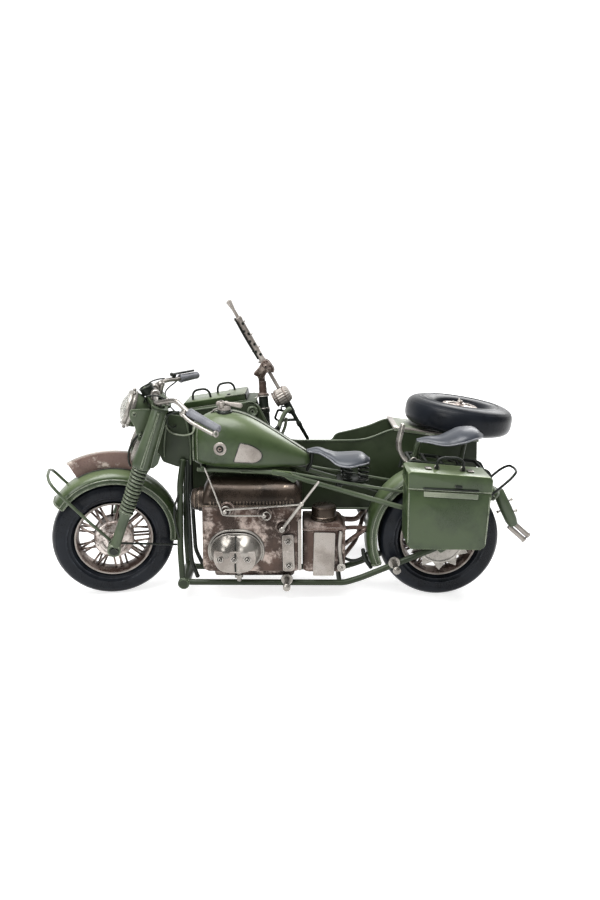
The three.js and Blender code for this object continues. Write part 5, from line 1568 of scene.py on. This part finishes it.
# %% [markdown]
# ## Sidecar body
# The sidecar is a boat of sheet tin: two flat sides, a floor and two ends, with all its top
# edges rolled over wire. The far side is cut away low for getting in. The outline of a side
# is walked once, and each wall is that outline or a stretch of it given a thickness.
# %% Tub
NEAR_WALL, FAR_WALL = 50, 97.0
TUB_MIDDLE = (NEAR_WALL + FAR_WALL) / 2
rim_near = [(39, 110.2), (-28, 119.4), (-34, 118.4), (-45, 113.4), (-57, 110), (-114, 110),
    (-124, 115), (-132, 122), (-140, 139), (-146, 142), (-203, 133.5), (-205, 130)]
under = [(-205, 124), (-196, 57), (-189, 51.5), (35, 51.5), (41, 57)]
rim_far = [(39, 110.2), (-28, 119.4), (-34, 118.4), (-45, 113.4), (-57, 110), (-74.5, 106),
    (-77, 101), (-84, 97.4), (-124, 97.4), (-134, 112), (-141, 126), (-146, 142), (-203, 133.5),
    (-205, 130)]
near_soft, far_soft = [2, 5, 6, 12, 12, 6, 6, 6, 4, 4, 3, 2], [2, 5, 6, 12, 8, 4, 3, 4, 6, 6, 4, 3,
    3, 2]
under_soft = [2, 4, 4, 4, 4]
walls = sheet(rim_near + under, near_soft + under_soft, NEAR_WALL, NEAR_WALL + 1.3, 0.4, 6)
walls += sheet(rim_far + under, far_soft + under_soft, FAR_WALL - 1.3, FAR_WALL, 0.4, 6)


def plank(points, wall=1.3):
    """A bent sheet across the tub: a line in X and Z, thickened downward or inward by the
    wall, between the two sides."""
    p = np.asarray(points, float)
    along = np.gradient(p, axis=0)
    square = unit(np.stack([-along[:, 1], along[:, 0]], -1))
    return slab(np.vstack([p, (p + wall * square)[::-1]]), NEAR_WALL + 0.2, FAR_WALL - 0.2, 0.2)


walls += plank([(-204.4, 124), (-200, 91), (-195.6, 57.6), (-192.6, 53.6), (-188.6, 52),
    (-120, 52), (34.4, 52), (38.6, 53.6), (40.4, 57.4), (39.6, 90), (38.9, 110)])
walls += plank([(-142, 141), (-146, 141.4), (-175, 137.2), (-203, 133), (-204.6, 130)], -1.3)
make("tub_walls", walls, "deep_green", "sidecar_tub")
beads = []
for rim, soft, wall, inward in ((rim_near, near_soft, NEAR_WALL, 1),
        (rim_far, far_soft, FAR_WALL, -1)):
    edge = rounded(rim, soft, 6)[6:-6]
    beads.append(sweep(np.insert(edge, 1, wall + 0.5 * inward, axis=1), circle(0.95, 10),
        up=ACROSS))
    beads.append(wire([(x, wall + 0.2 * inward, 52) for x in (-190, -120, 35)], 0.9, 60))
make("tub_rolled_edges", total(beads), "grey_green")


def deck_height(x):
    """Height of the deck, which falls to the rear."""
    return 121.2 - 0.14 * (x + 28)


deck_line = [(-29.5, deck_height(-29.5) - 3), (-29.5, deck_height(-29.5)), (40, deck_height(40)),
    (40.6, deck_height(40) - 3)]
deck = sheet(deck_line, [1, 1, 2, 1], NEAR_WALL - 0.8, FAR_WALL + 0.8, 0.6)
boss = rod((25, TUB_MIDDLE, deck_height(25) - 1), (25.6, TUB_MIDDLE, 117.8), 11, sides=36,
    chamfer=0.8)
stud = rod((25, TUB_MIDDLE, 112), (28.6, TUB_MIDDLE, 137.4), 1.6)
make("deck_panel", deck + boss, "pale_green", "sidecar_deck")
wing_share = np.linspace(-1, 1, 30)
wing = sweep(np.stack([28.4 + 0 * wing_share, TUB_MIDDLE + 6 * wing_share,
    138.4 + 1.6 * wing_share ** 2], -1), circle(1, 14) * [1.5, 0.9],
    np.sqrt(np.clip(1 - wing_share ** 8, 0.03, 1)), up=(1, 0, 0))
wing += rod((28, TUB_MIDDLE, 134.6), (28.7, TUB_MIDDLE, 139.4), 3, 2.2)
make("deck_stud", stud, "silver")
make("deck_wing_nut", wing, "cream")
front_line = [(x, deck_height(x) + lift) for x, lift in ((-30, -1.6), (-30, 0.35), (-25.5, 0.35),
    (-25.5, -0.3), (-28.6, -1))]
near_line = [(x, deck_height(x) + lift) for x, lift in ((-29.4, -0.8), (-29.4, 0.3), (14, 0.3),
    (16, -0.8))]
worn_edge = sheet(front_line, 0.4, NEAR_WALL - 1, FAR_WALL + 1, 0.3)
worn_edge += sheet(near_line, 0.4, NEAR_WALL - 1.1, NEAR_WALL + 5.4, 0.3)
make("deck_worn_edge", worn_edge, "cream")
report("sidecar body")

# %% [markdown]
# Inside the tub sits a seat of painted tin, pressed to look quilted. On the nose lies a
# flat case with two wire handles, and a dash plate with a hose and a lever stands behind it.
# The case is written level and then tilted, because the nose slopes.
# %% Seat, dash plate and nose box
def cushion_shape(low, high, swell):
    """A box between two corners whose faces swell: a squared ball, with powers of 0.28, and
    a quilting wave of two tucks across it."""
    low, high = np.asarray(low, float), np.asarray(high, float)
    u = np.linspace(-np.pi / 2, np.pi / 2, 40)
    v = np.linspace(0, 2 * np.pi, 64, endpoint=False)
    cos_u, sin_u, cos_v, sin_v = (signed(w, 0.28) for w in (np.cos(u)[:, None], np.sin(u)[:, None],
        np.cos(v), np.sin(v)))
    ring = np.stack([cos_u * cos_v, cos_u * sin_v, np.broadcast_to(sin_u, (40, 64))], -1)
    tuck = 1 - swell * np.exp(-((np.abs(ring[..., 1:2]) - 0.36) / 0.06) ** 2)
    return skin((low + high) / 2 + (high - low) / 2 * ring * np.where(np.abs(ring) > 0.9, tuck, 1))


seat_shape = cushion_shape((-79.5, 53, 56), (-38.5, 94, 69.5), 0.05)
seat_shape += cushion_shape((-42, 53, 57), (-33.6, 94, 103.6), 0.04)
make("sidecar_seat_pad", seat_shape, "saddle", "sidecar_seat")
base = slab([(-80, 52.8), (-34, 52.8), (-34, 57), (-80, 57)], 52, 95, 0.4)
make("sidecar_seat_base", base, "deep_green")
NOSE_TILT = math.atan2(8.5, 57)


def on_nose(points):
    """Turns (along, y, up) on the nose's slope into the model's (x, y, z)."""
    a, y, u = np.asarray(points, float).T
    return np.stack([-202 + a * math.cos(NOSE_TILT) - u * math.sin(NOSE_TILT), y,
        134.2 + a * math.sin(NOSE_TILT) + u * math.cos(NOSE_TILT)], -1)


def nose_shape(shape):
    """A shape written on the nose's slope, moved there."""
    return Shape(on_nose(shape.points), shape.faces)


body = sheet([(1, 0.2), (52, 0.2), (52, 5), (50.6, 6), (2.2, 6), (1, 5)], 0.8, 56, 93, 0.6)
make("nose_box_tin", nose_shape(body), "green", "nose_box", ease=0.3)
lid_top = sheet([(36, 5.6), (52.4, 5.6), (52.4, 6.6), (36, 6.6)], 0.4, 55.6, 93.4, 0.3)
lid_top += sheet([(0.4, 0), (52.6, 0), (52.6, 0.9), (0.4, 0.9)], 0.3, 55.4, 93.6, 0.2)
make("nose_box_trim", nose_shape(lid_top), "pale_green")
end_face = sheet([(51.8, 0.8), (53, 0.8), (53, 5.4), (51.8, 5.4)], 0.3, 57, 92, 0.2)
end_face += sheet([(37.5, 6.2), (40, 6.2), (40, 7.4), (37.5, 7.4)], 0.3, 58, 63, 0.2)
make("nose_box_end", nose_shape(end_face), "black_wire")
handles = total(nose_shape(bent_rod([(s, y, 5.4), (s + 0.6, y, 10.8), (s + 3.5, y, 13.6),
    (s + 11.5, y, 13.6), (s + 14.5, y, 10.6), (s + 15, y, 5.4)], 0.95, 3)) for s,
    y in ((8, 66), (27, 84)))
make("nose_box_handles", handles, "black_wire")
dash = sheet([(-154, 141), (-140, 140.6), (-126.4, 113), (-131, 110), (-154, 112)],
    [2, 6, 3, 3, 2], NEAR_WALL - 1, NEAR_WALL + 0.2, 0.3)
dash_edge = wire([(-150, NEAR_WALL - 1, 141.6), (-145.6, NEAR_WALL - 1, 142.2),
    (-141, NEAR_WALL - 1, 139.4), (-133.6, NEAR_WALL - 1, 124.6), (-127.2, NEAR_WALL - 1, 112.4)],
    0.6, 60)
make("dash_plate", dash, "deep_green")
boss = lathe([(1.5, 0), (4.2, 0), (4.6, 0.6), (4.2, 1.8), (3.4, 2.2), (1.5, 1.2)],
    (-144.6, NEAR_WALL - 0.8, 134.6), (0, -1, 0), 36, loop=True)
boss += bolt((-144.6, NEAR_WALL - 0.8, 134.6), (0, -1, 0), 2, 1.4)
make("dash_trim", dash_edge + boss, "grey_green")
hose = wire([(-143, 56, 119), (-139, 54, 112), (-132, 53.6, 108), (-128, 54, 116),
    (-124, 56, 121)], 1.5, 60, 12)
make("dash_hose", hose, "black_wire")
lever = wire([(-128, 58, 112), (-125, 58, 116), (-122.6, 58, 123), (-117.6, 58, 133),
    (-113.6, 58, 135.6)], 1.9, 50, 12)
lever += wire([(-121, 62, 113), (-118.4, 62, 120), (-117.4, 62, 127)], 1.3, 30)
make("dash_lever", lever, "pale_green")
report("sidecar fittings")

# %% [markdown]
# ## Sidecar chassis and wheel
# Tubes run under the tub from the motorcycle's frame to the outer wheel. Most of them are
# hidden from the near side. The outer wheel has the same crowned guard as the rear one.
# %% Sidecar chassis
axle_tube = rod((-11, 18, 46), (-11, 113.4, 46), 3) + rod((-11, 113, 46), (-11, 135, 46), 2.1)
axle_tube += sheet([(-14, 43), (-2, 43), (-2, 60), (-14, 60)], 2, 18.8, 21.4, 0.5)
make("sidecar_axle_bar", axle_tube, "rust", "sidecar_axle_tube")
front_tube = bent_rod([(-165, 16.6, 15), (-165, 44, 22), (-165, 88, 48.4)], 2.6, 12)
front_tube += lathe([(2.4, -1.4), (3.6, -1.4), (3.6, 1.4), (2.4, 1.4)], (-165, 20.4, 16),
    (0, 1, 0.2), 28, loop=True)
make("sidecar_front_bar", front_tube, "rust", "sidecar_front_tube")
struts = bent_rod([(-80, 17.4, 54), (-60, 34, 47.6), (-50, 66, 48)], 2.2, 8)
struts += bent_rod([(-72, 17, 21.4), (-60, 34, 30), (-50, 66, 48)], 1.8, 8)
make("sidecar_strut_bars", struts, "rust", "sidecar_strut")
SIDE_GUARD = (-11, 124, 47.5)
arm = rod((-11, 96.6, 99), (-11, 111.6, 99), 2.4) + rod((-30, 96.6, 92), (-30, 112, 92), 1.8)
mudguard("side_guard", "sidecar_mudguard", SIDE_GUARD, 56.5, (28, 150), 13.4, steps=70, more=[arm])
report("sidecar chassis")

# %% [markdown]
# ## The toy gun's post
# The mount is a stepped post with turned collars and two wire rings round it. On top sits a
# rusty fork that swivels, and the gun tilts between its prongs. Everything is solder and
# scrap tube, so each part here is a short turned or swept shape.
# %% Post and cradle
POST_X, POST_Y = -132.3, 73.5
low_end, high_end = np.array([POST_X, POST_Y, 53.4]), np.array([-137, POST_Y, 144.4])
post_axis = unit(high_end - low_end)
post_length = np.linalg.norm(high_end - low_end)
steps = [(0, 0), (7.8, 0), (8, 1), (6, 3), (4.3, 4.2), (4.3, 58), (5, 58.6), (5.2, 61), (4.6, 62),
    (4.4, 76), (5, 76.6), (5, 79), (4.2, 80), (3.9, post_length)]
post = lathe(steps + [(0, post_length)], low_end, post_axis, 40)
make("gun_post_lower", post, "black_wire", "gun_post")
upper = lathe([(0, -0.6), (4.5, -0.4), (4.7, 0.8), (3.5, 1.6), (3.2, 3), (3.4, 5), (3.1, 6.4),
    (3.3, 9.6), (3, 11.4), (0, 11.6)], high_end, (-0.05, 0, 1), 36)
make("gun_post_collars", upper, "rust")
rings = total(bead_ring(r, 0.45, low_end + post_axis * d, post_axis, 40) for r,
    d in ((4.75, 80), (4.9, 90.4)))
for tail in ([(80, 0, -4.8, 0), (80, 1.8, -5.2, 0.5), (80, 3, -5.8, 0.9)],
        [(90, -4, -3.4, 0), (89, -10, -6, -1), (89, -12.4, -7, -1)]):
    rings += wire([low_end + post_axis * d + [x, y, z] for d, x, y, z in tail], 0.5, 24)
make("gun_post_wires", rings, "silver")
PIVOT = (GUN[:3, 3] - HOME[:3, 3]) / MM
fork_outline = rounded([(-145.2, 162.2), (-141.8, 160), (-135.2, 159.6), (-134.4, 162.4),
    (-131.8, 164.6), (-127.6, 163), (-127.4, 166.4), (-131.6, 172.8), (-134.6, 174.4),
    (-137.8, 172.6), (-140.4, 167.2)], 1.4)
cheeks = slab(fork_outline, POST_Y - 4.6, POST_Y - 3.1, 0.5) + slab(fork_outline, POST_Y + 3.1,
    POST_Y + 4.6, 0.5)
cheeks += rod((-137.9, POST_Y, 154.2), (-138.2, POST_Y, 161.2), 2.8)
cheeks += sheet([(-141.4, 158.4), (-135.6, 158.4), (-135.4, 162), (-141.6, 162)], 1.2,
    POST_Y - 4.4, POST_Y + 4.4, 0.8)
cheeks += bolt(PIVOT + [0, -4.6, 0], (0, -1, 0), 1.8) + bolt(PIVOT + [0, 4.6, 0], (0, 1, 0), 1.8)
make("gun_fork", cheeks, "rust", "gun_cradle", body="gun_swivel")
report("post and cradle")

# %% [markdown]
# The jacket is a pierced tube. A real hole needs walls, and at this size nobody can look into
# one, so each hole is a small dark disc with a bevelled rim, set flush in the jacket's skin;
# its dark colour is painted shade for the hole's shadowed inside.
# The rest of the gun is turned tube, with two trigger grips of bent wire.
# %% Gun
jacket = lathe([(0, 46.4), (1.9, 46.2), (2.9, 45.4), (2.9, 43.4), (2.6, 42.8), (2.6, 6.6),
    (2.9, 6), (2.9, 3.6), (1.9, 2.8), (0, 2.6)], (0, 0, 0), (-1, 0, 0), 36)
muzzle = lathe([(0, 61.6), (1, 61.6), (1.3, 61.2), (2.3, 60.8), (2.4, 59.8), (1.6, 54.6),
    (1.35, 53.8), (1.35, 45.8), (0, 45.8)], (0, 0, 0), (-1, 0, 0), 28)
rear_tube = lathe([(0, 4), (1.5, 4), (1.5, -24.6), (0, -24.6)], (0, 0, 0), (-1, 0, 0), 24)
studs = total(rod((-x, 0, 2.2), (-x, 0, 3.9), 0.55, sides=10) for x in (40.5, 28.5, 16.5))
studs += total(rod((-x, 0, -2.2), (-x, 0, -4), 0.8, sides=10) for x in (45, 15.6, 5.4))
make("gun_jacket", jacket + muzzle + rear_tube + studs, "cream", "gun_barrel", body="gun")
# Painted shade: dark discs stand in for the holes' shadowed insides, and a dark wire runs along
# beneath the jacket.
hole_shade_and_wire = []
for first, turn in ((39.5, 62), (33.6, 118), (39.5, -62), (33.6, -118)):
    out = np.array([0, -math.sin(math.radians(turn)), math.cos(math.radians(turn))])
    hole_shade_and_wire += [lathe([(0, 0.14), (1.2, 0.14), (1.35, -0.4), (0, -0.4)],
        2.6 * out - [first - 9.6 * k, 0, 0], out, 16) for k in range(4)]
hole_shade_and_wire.append(wire([(-46.6, -1.8, -2.6), (-30, -1.8, -3), (-8, -1.8, -2.6)], 0.75, 40))
make("gun_jacket_hole_shade_and_wire", total(hole_shade_and_wire), "black_wire", body="gun")
receiver = lathe([(0, 23.8), (2, 24), (2.6, 25), (2.6, 34), (2.3, 35.4), (2.3, 45), (1.8, 46.4),
    (1.7, 54), (2.2, 55), (2.2, 57.4), (1.7, 58.4), (1.5, 70.6), (1, 71.8), (0, 71.8)], (0, 0, 0),
    (1, 0, 0), 28)
receiver += sheet([(25, -3.6), (45, -3), (45, 2.4), (25, 2.8)], 1, -2, 2, 0.5)
grip_a = bent_rod([(44, 0, -2), (37, 0, -9.6), (42, 0, -15.6), (44.6, 0, -14.4)], 1, 1.6)
grip_b = bent_rod([(51.6, 0, -1), (48.4, 0, -7.2), (45.2, 0, -14.8)], 1.25,
    2.5) + bent_rod([(37.6, 0, -2.6), (36, 0, -6.2), (39.4, 0, -7.4)], 0.7, 1.2)
make("gun_receiver_dark", receiver + grip_a + grip_b, "black_wire", "gun_receiver", body="gun")
flute = 7 * (1 + 0.035 * np.cos(np.linspace(0, 2 * np.pi, 120, endpoint=False) * 20))
levels = [(-8.2, 0.3), (-8.2, 0.78), (-7.4, 0.86), (-5, 0.9), (-4.6, 1), (3.4, 1), (4, 0.94),
    (5.4, 0.86), (6.4, 0.7), (6.6, 0.3)]
drum = skin([np.column_stack([circle(1, 120) * flute[:, None] * s + [28.5, 0], np.full(120, z)])
    for z, s in levels])
make("gun_drum_pale", drum, "cream", "gun_drum", body="gun")
drum_bands = total(bead_ring(r, 0.5, (28.5, 0, z), (0, 0, 1), 64) for r,
    z in ((7.1, 2.6), (6.9, -4.8), (6.2, -7.6)))
make("gun_drum_bands", drum_bands, "rust", body="gun")
report("gun")

# %% [markdown]
# ## Camera, floor and light
# The model stands on a plain pale sweep: a floor that curves up into a wall, so there is no
# horizon. It glows a little, like an opal light table, which keeps it white while the room
# around stays dim; that dim room is what gives the glossy paint its dark reflections.
# The camera stands on the near side, a little above the model.
# %% Camera and stage
WHITE = (1.0, 1.0, 1.0, 1.0)


def stage_sweep():
    """A floor from in front of the model to behind it, then a quarter circle up to a wall:
    a profile in Y and Z carried along X."""
    bend = np.linspace(-np.pi / 2, 0, 24)
    radius, back = 0.8, 1.6
    profile = np.vstack([[[-3.0, 0.0]], np.stack([back + radius * np.cos(bend),
        radius + radius * np.sin(bend)], -1), [[back + radius, 5.0]]])
    wide = np.array([-5.0, 5.0])
    x, k = np.meshgrid(wide, np.arange(len(profile)), indexing="ij")
    points = np.stack([x, profile[k, 0], profile[k, 1]], -1).reshape(-1, 3)
    count = len(profile)
    a = np.arange(count - 1)
    faces = np.stack([a, a + 1, a + 1 + count, a + count], -1)
    mesh = bpy.data.meshes.new("stage_floor")
    mesh.from_pydata(points.tolist(), [], faces[:, ::-1].tolist())
    mesh.shade_smooth()
    floor = bpy.data.objects.new("stage_floor", mesh)
    bpy.context.scene.collection.objects.link(floor)
    material = bpy.data.materials.new("stage_white")
    material.use_nodes = True
    shader = material.node_tree.nodes["Principled BSDF"]
    shader.inputs["Base Color"].default_value = (0.6, 0.6, 0.6, 1.0)
    shader.inputs["Roughness"].default_value = 0.9
    shader.inputs["Emission Color"].default_value = WHITE
    shader.inputs["Emission Strength"].default_value = 0.72
    mesh.materials.append(material)


def area_light(name, place, aim, size, watts):
    """A soft square lamp at a place, turned to shine at a point."""
    data = bpy.data.lights.new(name, "AREA")
    data.shape, data.size, data.energy = "SQUARE", size, watts
    lamp = bpy.data.objects.new(name, data)
    lamp.location = place
    direction = Vector(aim) - Vector(place)
    lamp.rotation_euler = direction.to_track_quat("-Z", "Y").to_euler()
    bpy.context.scene.collection.objects.link(lamp)


def studio():
    """Camera, world and lamps."""
    camera = bpy.data.objects.new("camera", bpy.data.cameras.new("camera"))
    camera.location = (HOME[0, 3] - 0.10613, HOME[1, 3] - 0.56337, 0.24386)
    camera.rotation_euler = (math.radians(76.99), 0.0, 0.0)
    camera.data.lens = 30.656
    camera.data.sensor_width = 36.0
    bpy.context.scene.collection.objects.link(camera)
    bpy.context.scene.camera = camera
    world = bpy.data.worlds.new("white_room")
    world.use_nodes = True
    background = world.node_tree.nodes["Background"].inputs
    background["Color"].default_value, background["Strength"].default_value = WHITE, 0.3
    bpy.context.scene.world = world
    area_light("top_light", (-0.2, -0.3, 1.1), (0, 0, 0.08), 0.8, 19.0)
    area_light("front_light", (-0.8, -1.1, 0.7), (0, 0, 0.08), 0.6, 7.0)
    area_light("rim_light", (0.6, 0.9, 0.8), (0, 0, 0.1), 0.7, 8.0)
    bpy.context.scene.view_settings.view_transform = "Standard"


stage_sweep()
studio()
print("camera at", tuple(round(v, 3) for v in bpy.context.scene.camera.location))
